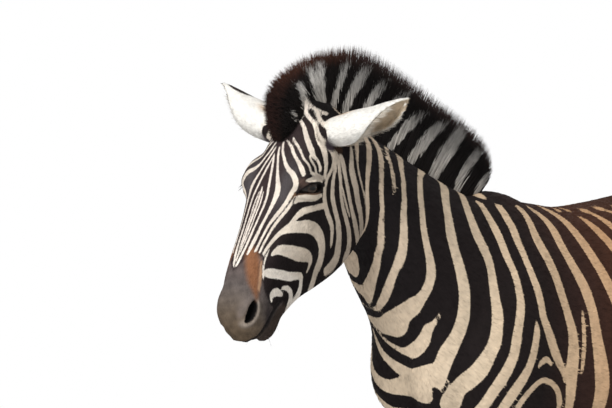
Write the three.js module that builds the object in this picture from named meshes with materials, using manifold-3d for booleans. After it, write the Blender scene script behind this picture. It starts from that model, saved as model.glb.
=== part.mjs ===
// Life-size still model of a zebra that stands square on its four hooves, its neck half raised, its face pointing
// steeply down and its ears turned out to the sides. Millimetres. The zebra looks along -X, its left side is -Y,
// and +Z is up. The origin is on the floor, under the middle of the model's box.
//
// The flesh is one smooth field, made of lofts and ellipsoids that melt into each other. The field is turned into a
// closed mesh region by region, and each region is trimmed to a named piece with thin gaps between the pieces.
import * as THREE from "three";
import { mergeVertices } from "three/addons/utils/BufferGeometryUtils.js";
import Module from "manifold-3d";

const wasm = await Module();
wasm.setup();

// ---------------------------------------------------------------- driving dimensions
const GAP = 0.4; // left between two pieces that meet
const HEAD_LENGTH = 496; // poll to upper lip
const HEAD_PITCH = 60; // degrees that the face points below the horizon
const POLL = [-516, 0, 1509];
const STANCE_FRONT = 96; // from the midline to the middle of a front hoof
const STANCE_HIND = 100;
const CORONET = 72; // height of a hoof
const EYE = { at: [174, 66, -38], radius: 22 }; // in the head's own frame
const EAR = { base: [54, 62, -38], length: 212 };
const EARS = {
  ear_left: [0.2, -0.92, 0.31], // which way the ear points
  ear_right: [0.1, 0.91, 0.42],
};
const BODY_SHIFT = -211.73; // puts the middle of the box over the origin

// ---------------------------------------------------------------- fields
// A field takes x, y, z and gives about the distance to its surface, negative inside.
const { abs, cos, hypot, max, min, PI, pow, sin, sqrt } = Math;
const radians = (degrees) => (degrees * PI) / 180;

const melt = (a, b, k) => {
  const h = max(k - abs(a - b), 0) / k;
  return min(a, b) - (h * h * k) / 4;
};
const carve = (a, b, k) => -melt(-a, b, k);

// Row of numbers at t, counted in rows, on a smooth curve through the rows of a table.
function rowAt(rows, t) {
  const i = min(Math.floor(t), rows.length - 2);
  const f = t - i;
  const [p0, p1, p2, p3] = [max(i - 1, 0), i, i + 1, min(i + 2, rows.length - 1)].map((j) => rows[j]);
  return p1.map((_, c) => {
    const m1 = (p2[c] - p0[c]) / 2;
    const m2 = (p3[c] - p1[c]) / 2;
    const d = p2[c] - p1[c];
    return p1[c] + f * (m1 + f * (3 * d - 2 * m1 - m2 + f * (m1 + m2 - 2 * d)));
  });
}

// A loft in the plane of x and z. A station is a chord from a point on one outline to a point on the other:
// [x1, z1, x2, z2, half width, where it is widest from point 2 (0 to 1), roundness (2 is an ellipse), y of its middle]
const STEPS = 5;
function loft(stations) {
  const rows = [];
  const count = (stations.length - 1) * STEPS;
  for (let i = 0; i <= count; i++) rows.push(rowAt(stations, i / STEPS));
  const box = new THREE.Box3();
  for (const [x1, z1, x2, z2, w, , , y] of rows) {
    for (const [x, z] of [[x1, z1], [x2, z2]]) {
      box.expandByPoint(new THREE.Vector3(x, y - w, z));
      box.expandByPoint(new THREE.Vector3(x, y + w, z));
    }
  }
  const point = new THREE.Vector3();
  const section = (r, x, y, z) => {
    const [x1, z1, x2, z2, w, widest, power, middle] = r;
    const length = hypot(x1 - x2, z1 - z2);
    const up = ((x - x2) * (x1 - x2) + (z - z2) * (z1 - z2)) / length - widest * length;
    const reach = up > 0 ? length * (1 - widest) : length * widest;
    const out = y - middle;
    const rho = pow(pow(abs(up) / reach, power) + pow(abs(out) / w, power), 1 / power);
    return rho > 1e-4 ? hypot(up, out) * (1 - 1 / rho) : -min(reach, w);
  };
  const side = ([x1, z1, x2, z2], x, z) => ((x1 - x2) * (z - z2) - (z1 - z2) * (x - x2)) / hypot(x1 - x2, z1 - z2);
  const first = rows[0];
  const last = rows[count];
  const sign = Math.sign(side(first, (last[0] + last[2]) / 2, (last[1] + last[3]) / 2));
  return (x, y, z) => {
    const away = box.distanceToPoint(point.set(x, y, z));
    if (away > 150) return away;
    let best = Infinity;
    let before = sign * side(first, x, z);
    if (before < 0) best = capped(section(first, x, y, z), -before);
    for (let i = 1; i <= count; i++) {
      const now = sign * side(rows[i], x, z);
      if (before >= 0 && now < 0) {
        const f = before / (before - now);
        const r = rows[i].map((v, c) => rows[i - 1][c] + f * (v - rows[i - 1][c]));
        best = min(best, section(r, x, y, z));
      }
      before = now;
    }
    if (before >= 0) best = min(best, capped(section(last, x, y, z), before));
    return best;
  };
}
const capped = (d, beyond) => (d > 0 ? hypot(d, beyond) : max(d, beyond));

// An ellipsoid, with its radii along its own axes and turned by pitch about Y, in degrees.
function egg([cx, cy, cz], [rx, ry, rz], pitch = 0) {
  const [c, s] = [cos(radians(pitch)), sin(radians(pitch))];
  return (x, y, z) => {
    const [dx, dy, dz] = [x - cx, y - cy, z - cz];
    const [a, b] = [c * dx + s * dz, c * dz - s * dx];
    const k0 = hypot(a / rx, dy / ry, b / rz);
    const k1 = hypot(a / (rx * rx), dy / (ry * ry), b / (rz * rz));
    return k1 > 1e-9 ? (k0 * (k0 - 1)) / k1 : -min(rx, ry, rz);
  };
}

// The same field on both sides of the midline.
const mirrored = (field) => (x, y, z) => field(x, abs(y), z);

// A field given in a frame of its own, such as the head's.
function placed(field, frame) {
  const inverse = frame.clone().invert();
  const p = new THREE.Vector3();
  return (x, y, z) => {
    p.set(x, y, z).applyMatrix4(inverse);
    return field(p.x, p.y, p.z);
  };
}

// ---------------------------------------------------------------- trunk and neck
// Columns: x and z on the back, x and z on the belly, half width, widest, roundness, middle.
const TRUNK = [
  [-160, 1010, -166, 900, 84, 0.5, 2, 0],
  [-114, 1130, -140, 822, 138, 0.45, 2, 0],
  [-50, 1240, -84, 768, 176, 0.42, 2, 0],
  [20, 1298, 20, 736, 196, 0.42, 2, 0],
  [130, 1284, 130, 712, 222, 0.43, 2.1, 0],
  [260, 1267, 260, 690, 246, 0.45, 2.2, 0],
  [400, 1274, 400, 674, 262, 0.46, 2.2, 0],
  [540, 1290, 540, 672, 264, 0.47, 2.2, 0],
  [670, 1304, 690, 704, 250, 0.5, 2.2, 0],
  [790, 1306, 820, 775, 232, 0.52, 2.2, 0],
  [900, 1284, 930, 850, 216, 0.5, 2.1, 0],
  [990, 1240, 1014, 905, 184, 0.5, 2, 0],
  [1054, 1186, 1070, 950, 138, 0.5, 2, 0],
  [1090, 1110, 1096, 1010, 70, 0.5, 2, 0],
];
const NECK = [
  [60, 1278, -96, 860, 150, 0.45, 2, 0],
  [-30, 1300, -194, 930, 150, 0.45, 2, 0],
  [-140, 1344, -250, 1020, 124, 0.45, 2, 0],
  [-260, 1402, -308, 1103, 104, 0.45, 2, 0],
  [-380, 1464, -345, 1180, 84, 0.48, 2, 0],
  [-470, 1508, -385, 1232, 76, 0.5, 2, 0],
  [-540, 1522, -435, 1280, 66, 0.5, 2, 0],
];

// ---------------------------------------------------------------- head, in its own frame
// x runs from the poll to the lips, z out of the forehead, and y is to the zebra's left.
const HEAD = [
  [-16, -40, -4, -110, 34, 0.6, 2, 0],
  [0, -6, 12, -178, 58, 0.6, 2, 0],
  [40, 10, 48, -222, 73, 0.62, 2, 0],
  [90, 14, 105, -252, 80, 0.64, 2, 0],
  [140, 14, 165, -266, 86, 0.66, 2.1, 0],
  [185, 12, 215, -264, 87, 0.68, 2.2, 0],
  [240, 8, 265, -246, 76, 0.64, 2.2, 0],
  [300, 5, 312, -216, 62, 0.58, 2.2, 0],
  [355, 3, 356, -184, 52, 0.54, 2.2, 0],
  [400, -3, 402, -162, 48, 0.52, 2.2, 0],
  [438, -18, 436, -150, 46, 0.5, 2.3, 0],
  [467, -37, 461, -138, 42, 0.5, 2.3, 0],
  [487, -57, 478, -121, 33, 0.5, 2.2, 0],
  [HEAD_LENGTH, -79, HEAD_LENGTH - 6, -100, 15, 0.5, 2, 0],
];
const headFrame = new THREE.Matrix4().makeTranslation(...POLL).multiply(
  new THREE.Matrix4().makeBasis(
    new THREE.Vector3(-cos(radians(HEAD_PITCH)), 0, -sin(radians(HEAD_PITCH))),
    new THREE.Vector3(0, -1, 0),
    new THREE.Vector3(-sin(radians(HEAD_PITCH)), 0, cos(radians(HEAD_PITCH))),
  ),
);

function headField() {
  const skull = loft(HEAD);
  const brow = mirrored(egg([164, 64, -22], [42, 25, 26]));
  const cheek = mirrored(egg([165, 46, -160], [98, 37, 78], 14));
  const nostril = mirrored(egg([442, 26, -49], [33, 19, 25], -24));
  const lip = egg([474, 0, -85], [23, 34, 26]);
  const chin = egg([441, 0, -140], [33, 26, 19]);
  const temple = mirrored(egg([110, 92, -26], [26, 14, 18]));
  const socket = mirrored(egg([EYE.at[0], 97, EYE.at[2]], [30, 13, 17], 38));
  return (x, y, z) => {
    let d = melt(skull(x, y, z), brow(x, y, z), 24);
    d = melt(d, cheek(x, y, z), 30);
    d = melt(d, nostril(x, y, z), 16);
    d = melt(d, lip(x, y, z), 16);
    d = melt(d, chin(x, y, z), 12);
    d = carve(d, temple(x, y, z), 16);
    return carve(d, socket(x, y, z), 8);
  };
}

// ---------------------------------------------------------------- legs
// Columns: height, x of the front outline, x of the back outline, half width, how far out its middle is.
const FRONT_LEG = [
  [60, -90, -10, 37, 0],
  [100, -66, -2, 30, 0],
  [135, -46, 12, 25, 0],
  [165, -38, 30, 28, 0],
  [190, -34, 40, 31, 0],
  [222, -26, 34, 26, 0],
  [275, -22, 28, 20, 0],
  [340, -22, 26, 20, 0],
  [395, -27, 30, 25, 0],
  [440, -36, 34, 33, 0],
  [482, -34, 30, 32, 0],
  [535, -36, 36, 33, 2],
  [605, -46, 50, 41, 6],
  [680, -62, 70, 52, 12],
  [760, -82, 98, 64, 18],
  [850, -114, 118, 73, 17],
  [950, -142, 116, 79, 15],
  [1060, -116, 112, 70, 10],
  [1160, -80, 108, 56, -5],
  [1225, -30, 85, 38, -20],
];
const HIND_LEG = [
  [60, 910, 990, 36, 0],
  [100, 934, 1000, 29, 0],
  [135, 954, 1012, 25, 0],
  [165, 966, 1030, 28, 0],
  [190, 976, 1042, 31, 0],
  [225, 988, 1040, 26, 0],
  [290, 1000, 1044, 21, 0],
  [360, 1004, 1052, 21, 0],
  [420, 1003, 1066, 26, 0],
  [470, 1000, 1086, 33, 0],
  [515, 1000, 1102, 32, 0],
  [552, 993, 1096, 27, 0],
  [600, 968, 1078, 30, 2],
  [660, 926, 1064, 42, 6],
  [730, 876, 1064, 58, 12],
  [800, 828, 1078, 76, 20],
  [880, 800, 1094, 92, 24],
  [980, 790, 1104, 104, 20],
  [1080, 806, 1098, 98, 12],
  [1180, 846, 1060, 76, -5],
];
const legLoft = (table, stance, shift = 0) =>
  loft(table.map(([z, front, back, w, out]) => [front + shift, z, back + shift, z, w, 0.5, 2.1, stance + out]));

// A leg of the other side is the same leg with y turned over, so that each may stand on a place of its own.
const LEGS = {
  leg_front_left: { table: FRONT_LEG, stance: STANCE_FRONT, side: -1, shift: -14 },
  leg_front_right: { table: FRONT_LEG, stance: STANCE_FRONT, side: 1, shift: 14 },
  leg_hind_left: { table: HIND_LEG, stance: STANCE_HIND, side: -1, shift: -12 },
  leg_hind_right: { table: HIND_LEG, stance: STANCE_HIND, side: 1, shift: 16 },
};
for (const leg of Object.values(LEGS)) {
  const field = legLoft(leg.table, leg.stance, leg.shift);
  leg.field = (x, y, z) => field(x, leg.side * y, z);
}

// ---------------------------------------------------------------- the whole flesh
const trunk = loft(TRUNK);
const neck = loft(NECK);
const head = placed(headField(), headFrame);
const haunch = mirrored(egg([895, 128, 1080], [170, 105, 170], 20));
const breast = mirrored(egg([-140, 60, 928], [84, 62, 94]));
const shoulder = mirrored(egg([-4, 134, 1020], [84, 60, 165], -18));
const flank = mirrored(egg([738, 285, 1010], [48, 34, 110], -15));

function flesh(x, y, z) {
  let d = melt(trunk(x, y, z), neck(x, y, z), 70);
  d = melt(d, breast(x, y, z), 50);
  d = melt(d, haunch(x, y, z), 60);
  d = melt(d, shoulder(x, y, z), 60);
  d = carve(d, flank(x, y, z), 60);
  for (const leg of Object.values(LEGS)) d = melt(d, leg.field(x, y, z), 34);
  return melt(d, head(x, y, z), 30);
}

// ---------------------------------------------------------------- from a field to a solid
// The corners, edges and faces of a grid cell. An edge is a pair of corners, and a face its four corners in turn.
const CORNERS = [...Array(8).keys()].map((c) => [c & 1, (c >> 1) & 1, c >> 2]);
const EDGES = [0, 1, 2].flatMap((axis) => CORNERS.flatMap((c, i) => (c[axis] ? [] : [[i, i | (1 << axis)]])));
const FACES = [0, 1, 2].flatMap((axis) => {
  const [u, v] = [1 << ((axis + 1) % 3), 1 << ((axis + 2) % 3)];
  return [0, 1 << axis].map((base) => [base, base | u, base | u | v, base | v]);
});
const edgeOf = (a, b) => EDGES.findIndex(([p, q]) => (p === a && q === b) || (p === b && q === a));
const FACE_EDGES = FACES.map((face) => face.map((c, i) => edgeOf(c, face[(i + 1) % 4])));

// The crossed edges of a cell, in groups: each group is one sheet of the surface passing through the cell.
function sheetsOf(inside) {
  const group = EDGES.map(([a, b], e) => (inside[a] === inside[b] ? -1 : e));
  const join = (e, f) => {
    const [from, to] = [group[f], group[e]];
    group.forEach((g, i) => (group[i] = g === from ? to : g));
  };
  FACE_EDGES.forEach((edges, i) => {
    const crossed = edges.filter((e) => group[e] >= 0);
    if (crossed.length === 2) join(...crossed);
    if (crossed.length === 4)
      FACES[i].forEach((corner, c) => {
        if (inside[corner]) join(edges[c], edges[(c + 3) % 4]);
      });
  });
  return group;
}

// The surface of a field in a box, as a closed solid. It has one vertex for each sheet in each cell, moved onto the
// surface, and one quad round each crossed edge of the grid.
function polygonise(field, [x0, y0, z0], [x1, y1, z1], [cx, cy, cz]) {
  const n = [[x0, x1, cx], [y0, y1, cy], [z0, z1, cz]].map(([lo, hi, c]) => Math.ceil((hi - lo) / c) + 1);
  const at = (i, j, k) => (i * n[1] + j) * n[2] + k;
  const values = new Float64Array(n[0] * n[1] * n[2]);
  const onEdge = (i, j, k) => [i, j, k].some((v, a) => v === 0 || v === n[a] - 1);
  for (let i = 0; i < n[0]; i++)
    for (let j = 0; j < n[1]; j++)
      for (let k = 0; k < n[2]; k++) {
        const d = field(x0 + i * cx, y0 + j * cy, z0 + k * cz);
        values[at(i, j, k)] = onEdge(i, j, k) ? max(d, 1) : d;
      }
  const vertexOf = new Map(); // from a cell and one of its edges to the vertex of that edge's sheet
  const positions = [];
  for (let i = 0; i < n[0] - 1; i++)
    for (let j = 0; j < n[1] - 1; j++)
      for (let k = 0; k < n[2] - 1; k++) {
        const corner = CORNERS.map(([a, b, c]) => values[at(i + a, j + b, k + c)]);
        const group = sheetsOf(corner.map((v) => v < 0));
        for (const g of new Set(group.filter((e) => e >= 0))) {
          const middle = [0, 0, 0];
          const members = EDGES.filter((_, e) => group[e] === g);
          for (const [a, b] of members) {
            const f = corner[a] / (corner[a] - corner[b]);
            for (let c = 0; c < 3; c++)
              middle[c] += (CORNERS[a][c] + f * (CORNERS[b][c] - CORNERS[a][c])) / members.length;
          }
          group.forEach((e, edge) => {
            if (e === g) vertexOf.set(at(i, j, k) * 12 + edge, positions.length / 3);
          });
          const [fx, fy, fz] = middle;
          positions.push(...onto(field, x0 + (i + fx) * cx, y0 + (j + fy) * cy, z0 + (k + fz) * cz));
        }
      }
  const index = [];
  const axes = [[1, 0, 0], [0, 1, 0], [0, 0, 1]];
  for (let i = 0; i < n[0]; i++)
    for (let j = 0; j < n[1]; j++)
      for (let k = 0; k < n[2]; k++)
        axes.forEach((step, a) => {
          const [i2, j2, k2] = [i + step[0], j + step[1], k + step[2]];
          if (i2 >= n[0] || j2 >= n[1] || k2 >= n[2]) return;
          const inside = values[at(i, j, k)] < 0;
          if (inside === values[at(i2, j2, k2)] < 0) return;
          const [u, v] = [(a + 1) % 3, (a + 2) % 3];
          const quad = [[1, 1], [0, 1], [0, 0], [1, 0]].map(([p, q]) => {
            const cell = [i, j, k];
            cell[u] -= p;
            cell[v] -= q;
            const low = (p << u) | (q << v);
            return vertexOf.get(at(...cell) * 12 + edgeOf(low, low | (1 << a)));
          });
          if (!inside) quad.reverse();
          index.push(quad[0], quad[1], quad[2], quad[0], quad[2], quad[3]);
        });
  return solid(positions, index);
}

function onto(field, x, y, z) {
  const e = 0.5;
  for (let turn = 0; turn < 3; turn++) {
    const d = field(x, y, z);
    const g = [
      field(x + e, y, z) - field(x - e, y, z),
      field(x, y + e, z) - field(x, y - e, z),
      field(x, y, z + e) - field(x, y, z - e),
    ].map((v) => v / (2 * e));
    const steep = max(g[0] * g[0] + g[1] * g[1] + g[2] * g[2], 0.2);
    const step = max(-6, min(6, d)) / steep;
    [x, y, z] = [x - g[0] * step, y - g[1] * step, z - g[2] * step];
  }
  return [x, y, z];
}

const solid = (positions, index) =>
  new wasm.Manifold(
    new wasm.Mesh({ numProp: 3, vertProperties: new Float32Array(positions), triVerts: new Uint32Array(index) }),
  );

// A three.js geometry as a solid, placed by a matrix.
function solidOf(geometry, matrix = new THREE.Matrix4()) {
  const g = geometry.clone().applyMatrix4(matrix);
  g.deleteAttribute("normal");
  g.deleteAttribute("uv");
  const merged = mergeVertices(g, 1e-3);
  return solid(merged.attributes.position.array, merged.index.array);
}

// ---------------------------------------------------------------- regions
// A plane goes through a point and looks along a normal. What is behind all the planes of a region belongs to it.
const across = (from, to) => {
  const [dx, dz] = [to[0] - from[0], to[1] - from[1]];
  return { point: [from[0], 0, from[1]], normal: new THREE.Vector3(-dz, 0, dx).normalize() };
};
const facing = (point, ...normal) => ({ point, normal: new THREE.Vector3(...normal).normalize() });

// The part of a solid behind a plane that has been moved forwards by d.
function behind(made, { point, normal }, d = 0) {
  const offset = normal.dot(new THREE.Vector3(...point)) + d;
  return made.trimByPlane(normal.clone().negate().toArray(), -offset);
}
const everywhere = solidOf(new THREE.BoxGeometry(6000, 6000, 6000));
const region = (planes, d = 0) => planes.reduce((made, plane) => behind(made, plane, d), everywhere);
const largest = (made) => made.decompose().sort((a, b) => b.volume() - a.volume())[0];

// ---------------------------------------------------------------- solids made of rings
// Rings of points, each with the same number of points, joined into a closed skin with a flat cap at each end.
function ringed(rings) {
  const n = rings[0].length;
  const positions = rings.flat(2);
  const index = [];
  for (let i = 0; i + 1 < rings.length; i++)
    for (let k = 0; k < n; k++) {
      const [a, b] = [i * n + k, i * n + ((k + 1) % n)];
      index.push(a, b, b + n, a, b + n, a + n);
    }
  [rings[0], rings.at(-1)].forEach((ring, end) => {
    const middle = [0, 1, 2].map((c) => ring.reduce((sum, p) => sum + p[c], 0) / n);
    const first = end * (rings.length - 1) * n;
    const hub = positions.push(...middle) / 3 - 1;
    for (let k = 0; k < n; k++) {
      const [a, b] = [first + k, first + ((k + 1) % n)];
      index.push(...(end ? [a, b, hub] : [b, a, hub]));
    }
  });
  const made = solid(positions, index);
  return made.volume() > 0 ? made : solid(positions, index.reverse());
}

// A point of a rounded outline at turn f (0 to 1), with half sizes a and b.
const round = (f, a, b, power = 2) => {
  const [c, s] = [cos(2 * PI * f), sin(2 * PI * f)];
  return [a * Math.sign(c) * pow(abs(c), 2 / power), b * Math.sign(s) * pow(abs(s), 2 / power)];
};

// A tapering fin or hose in the plane of x and z, from chords: [x1, z1, x2, z2, half width].
const finned = (chords, sides, power = 2) =>
  ringed(
    chords.map(([x1, z1, x2, z2, w]) =>
      [...Array(sides).keys()].map((k) => {
        const [a, y] = round(k / sides, 0.5, w, power);
        return [x1 + (0.5 + a) * (x2 - x1), y, z1 + (0.5 + a) * (z2 - z1)];
      }),
    ),
  );

// Columns: height, x of the toe and x of the heel, both from the middle of the coronet, and half width.
const HOOF_RINGS = [
  [0, -76, 22, 41],
  [10, -73, 24, 42],
  [40, -55, 31, 40],
  [CORONET - GAP, -38, 38, 38],
];
const HOOF_SIDES = 14;
const HIND_HOOF = 0.94; // a hind hoof is this much as wide as a front one
const hoof = (x, y, narrow) =>
  ringed(
    HOOF_RINGS.map(([z, toe, heel, w]) =>
      [...Array(HOOF_SIDES).keys()].map((k) => {
        const [a, b] = round(k / HOOF_SIDES, 0.5, w * narrow, 2.2);
        return [x + toe + (0.5 + a) * (heel - toe), y + b, z];
      }),
    ),
  );

// ---------------------------------------------------------------- ears
// An ear is a leaf rolled into a cup. Each row gives the place along the ear (0 to 1), the cup's half width and half
// depth, the angles from the opening to its front rim and its rear rim, the turn of the opening to the front and how
// far the middle of the cup is off the straight line.
const LEAF = [
  [0, 25, 27, 12, 12, -10, 0],
  [0.12, 31, 30, 18, 16, -6, -3],
  [0.28, 37, 33, 34, 24, 0, -7],
  [0.44, 39, 33, 58, 36, 6, -10],
  [0.6, 35, 29, 72, 46, 14, -10],
  [0.76, 26, 22, 78, 54, 22, -5],
  [0.9, 14, 13, 80, 62, 28, 2],
  [1, 3, 4, 80, 70, 32, 9],
];
const LEAF_POINTS = 8;
const LEAF_THICK = 5;
function ear(toTip) {
  const axis = new THREE.Vector3(...toTip).normalize();
  const side = Math.sign(toTip[1]);
  const down = new THREE.Vector3(0.45, side * 0.25, -0.85);
  down.addScaledVector(axis, -down.dot(axis)).normalize();
  const front = new THREE.Vector3().crossVectors(axis, down).multiplyScalar(side);
  const base = new THREE.Vector3(EAR.base[0], -side * EAR.base[1], EAR.base[2]).applyMatrix4(headFrame);
  const rings = LEAF.map(([f, wide, deep, toFront, toRear, turn, off]) => {
    const opening = down.clone().multiplyScalar(cos(radians(turn))).addScaledVector(front, sin(radians(turn)));
    const ahead = front.clone().multiplyScalar(cos(radians(turn))).addScaledVector(down, -sin(radians(turn)));
    const middle = base.clone().addScaledVector(axis, f * EAR.length).addScaledVector(down, -off);
    const at = (k, inset) => {
      const angle = radians(toFront + ((360 - toFront - toRear) * k) / (LEAF_POINTS - 1));
      const p = middle.clone().addScaledVector(ahead, sin(angle) * (wide - inset));
      return p.addScaledVector(opening, cos(angle) * (deep - inset)).toArray();
    };
    const thick = min(LEAF_THICK, 0.45 * wide);
    const outer = [...Array(LEAF_POINTS).keys()].map((k) => at(k, 0));
    const inner = [...Array(LEAF_POINTS).keys()].map((k) => at(LEAF_POINTS - 1 - k, thick));
    return [...outer, ...inner];
  });
  return strip(rings);
}

// Rings that are thin bands bent round: like ringed, but each end is closed across the band.
function strip(rings) {
  const n = rings[0].length;
  const index = [];
  for (let i = 0; i + 1 < rings.length; i++)
    for (let k = 0; k < n; k++) {
      const [a, b] = [i * n + k, i * n + ((k + 1) % n)];
      index.push(a, b, b + n, a, b + n, a + n);
    }
  [0, (rings.length - 1) * n].forEach((first, end) => {
    for (let k = 0; k + 1 < n / 2; k++) {
      const [a, b, c, d] = [k, k + 1, n - 2 - k, n - 1 - k].map((v) => first + v);
      index.push(...(end ? [a, b, c, a, c, d] : [a, c, b, a, d, c]));
    }
  });
  const made = solid(rings.flat(2), index);
  return made.volume() > 0 ? made : solid(rings.flat(2), index.reverse());
}

// ---------------------------------------------------------------- materials and nodes
const material = (color, roughness = 0.9) => new THREE.MeshStandardMaterial({ color, roughness, metalness: 0 });
const COAT = material("#b9ab98");
const MANE = material("#3a2a24");
const HOOF = material("#2d2926", 0.6);
const EYEBALL = material("#1a1110", 0.15);

const zebra = new THREE.Group();
function add(name, made, finish) {
  const { vertProperties, triVerts, numProp } = made.getMesh();
  const positions = new Float32Array((vertProperties.length / numProp) * 3);
  for (let i = 0; i < positions.length / 3; i++)
    positions.set(vertProperties.subarray(i * numProp, i * numProp + 3), i * 3);
  const g = new THREE.BufferGeometry()
    .setAttribute("position", new THREE.BufferAttribute(positions, 3))
    .setIndex(new THREE.BufferAttribute(triVerts, 1));
  g.computeVertexNormals();
  const mesh = new THREE.Mesh(g, finish);
  mesh.name = name;
  mesh.position.x = BODY_SHIFT;
  zebra.add(mesh);
}
// What is left of a solid once its neighbours are cut out of it, with a gap that opens along a direction.
const clearOf = (made, along, ...others) => {
  const move = new THREE.Vector3(...along).setLength(1.5 * GAP).toArray();
  return largest(others.reduce((left, other) => left.subtract(other).subtract(other.translate(move)), made));
};

// ---------------------------------------------------------------- the parting planes
const NAPE = across([-482, 1560], [-372, 1180]); // looks back, between head and neck
const WITHERS = across([20, 1310], [-190, 1020]); // looks back, between neck and trunk
const LEG_REGIONS = {
  front: [facing([0, 60, 735], 0, -0.7, 1), facing([-320, 0, 0], -1, 0, 0), facing([118, 0, 0], 1, 0, 0)],
  hind: [facing([0, 40, 770], 0, -0.7, 1), facing([800, 0, 0], -1, 0, 0), facing([1200, 0, 0], 1, 0, 0)],
};
for (const planes of Object.values(LEG_REGIONS)) planes.push(facing([0, 0.2, 0], 0, -1, 0));
const flipped = (planes) =>
  planes.map(({ point: [x, y, z], normal: { x: a, y: b, z: c } }) => facing([x, -y, z], a, -b, c));

// ---------------------------------------------------------------- flesh pieces
// The box that each piece is looked for in, from its low corner to its high one, and the cells it is divided into.
const LOOK = {
  body: [[-300, -320, 600], [1170, 320, 1380], [64, 53, 58]],
  neck: [[-560, -240, 900], [130, 240, 1590], [48, 42, 48]],
  head: [[-860, -140, 960], [-330, 140, 1580], [24, 22, 24]],
  front: [[-330, -20, 30], [150, 280, 1020], [27, 25, 48]],
  hind: [[770, -20, 30], [1170, 280, 1020], [27, 25, 48]],
};
const ball = (at, radii, pitch = 0, [around, down] = [12, 7]) =>
  solidOf(
    new THREE.SphereGeometry(1, around, down),
    headFrame
      .clone()
      .multiply(new THREE.Matrix4().makeTranslation(...at))
      .multiply(new THREE.Matrix4().makeRotationY(radians(pitch)))
      .multiply(new THREE.Matrix4().makeScale(...radii)),
  );

let trunkSolid = polygonise(flesh, ...LOOK.body).subtract(region([WITHERS], GAP));
const aboveHoof = facing([0, 0, CORONET], 0, 0, -1);
const legs = {};
for (const [name, leg] of Object.entries(LEGS)) {
  const right = leg.side > 0;
  const end = name.includes("front") ? "front" : "hind";
  const planes = right ? LEG_REGIONS[end] : flipped(LEG_REGIONS[end]);
  const [low, high, cell] = LOOK[end];
  const [y0, y1] = right ? [low[1], high[1]] : [-high[1], -low[1]];
  const made = polygonise(flesh, [low[0], y0, low[2]], [high[0], y1, high[2]], cell);
  legs[name] = largest(made.intersect(region([...planes, aboveHoof])));
  trunkSolid = trunkSolid.subtract(region(planes, GAP));
}
trunkSolid = largest(trunkSolid);

const neckSolid = largest(behind(polygonise(flesh, ...LOOK.neck), WITHERS).subtract(region([NAPE], GAP)));

let headSolid = largest(behind(polygonise(flesh, ...LOOK.head), NAPE));
for (const side of [-1, 1]) headSolid = headSolid.subtract(ball([449, side * 46, -48], [22, 12, 9], 4, [10, 6]));

const [along, sideways, out] = EYE.at;
for (const [name, side] of [["eye_left", 1], ["eye_right", -1]]) {
  const [eyeball, socket] = [0, GAP].map((d) => ball([along, side * sideways, out], Array(3).fill(EYE.radius + d)));
  const opening = ball([along, side * (sideways + 24), out], [31, 18, 13], -45);
  headSolid = headSolid.subtract(opening).subtract(socket);
  add(name, eyeball, EYEBALL);
}
headSolid = largest(headSolid);

add("head", headSolid, COAT);
add("neck", neckSolid, COAT);
add("trunk", trunkSolid, COAT);
for (const [name, made] of Object.entries(legs)) {
  const { table, stance, side, shift } = LEGS[name];
  const [, front, back] = rowAt(table, (CORONET - 60) / 40);
  const middle = (front + back) / 2 + shift;
  add(name, made, COAT);
  add(name.replace("leg", "hoof"), hoof(middle, side * stance, name.includes("hind") ? HIND_HOOF : 1), HOOF);
}

// ---------------------------------------------------------------- ears, mane and tail
for (const [name, toTip] of Object.entries(EARS)) add(name, clearOf(ear(toTip), toTip, headSolid), COAT);

// Chords from the root of the hair to its tips, from the forelock back to the withers.
const MANE_CHORDS = [
  [-548, 1424, -590, 1432, 12],
  [-540, 1446, -604, 1456, 26],
  [-528, 1470, -612, 1492, 33],
  [-516, 1492, -609, 1528, 35],
  [-494, 1504, -580, 1566, 33],
  [-462, 1498, -510, 1602, 30],
  [-420, 1480, -425, 1620, 28],
  [-365, 1452, -338, 1618, 28],
  [-290, 1412, -232, 1576, 28],
  [-200, 1368, -118, 1512, 28],
  [-110, 1326, -18, 1456, 26],
  [-44, 1296, 44, 1404, 22],
  [-4, 1288, 56, 1356, 14],
];
add("mane", clearOf(finned(MANE_CHORDS, 10, 2.3), [-0.5, 0, 0.87], headSolid, neckSolid, trunkSolid), MANE);

const TAIL_CHORDS = [
  [996, 1130, 1040, 1206, 34],
  [1040, 1096, 1096, 1178, 31],
  [1068, 1040, 1124, 1104, 26],
  [1086, 950, 1134, 986, 21],
  [1096, 860, 1134, 872, 17],
  [1102, 770, 1132, 772, 15],
];
const TUFT_CHORDS = [
  [1102, 769.5, 1132, 771.5, 15],
  [1092, 720, 1140, 722, 23],
  [1086, 640, 1144, 640, 28],
  [1088, 560, 1140, 558, 25],
  [1096, 490, 1132, 488, 17],
  [1108, 446, 1120, 446, 6],
];
add("tail", clearOf(finned(TAIL_CHORDS, 10), [1, 0, 0.3], trunkSolid), COAT);
add("tail_tuft", finned(TUFT_CHORDS, 10), MANE);

export default zebra;
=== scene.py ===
import math

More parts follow.
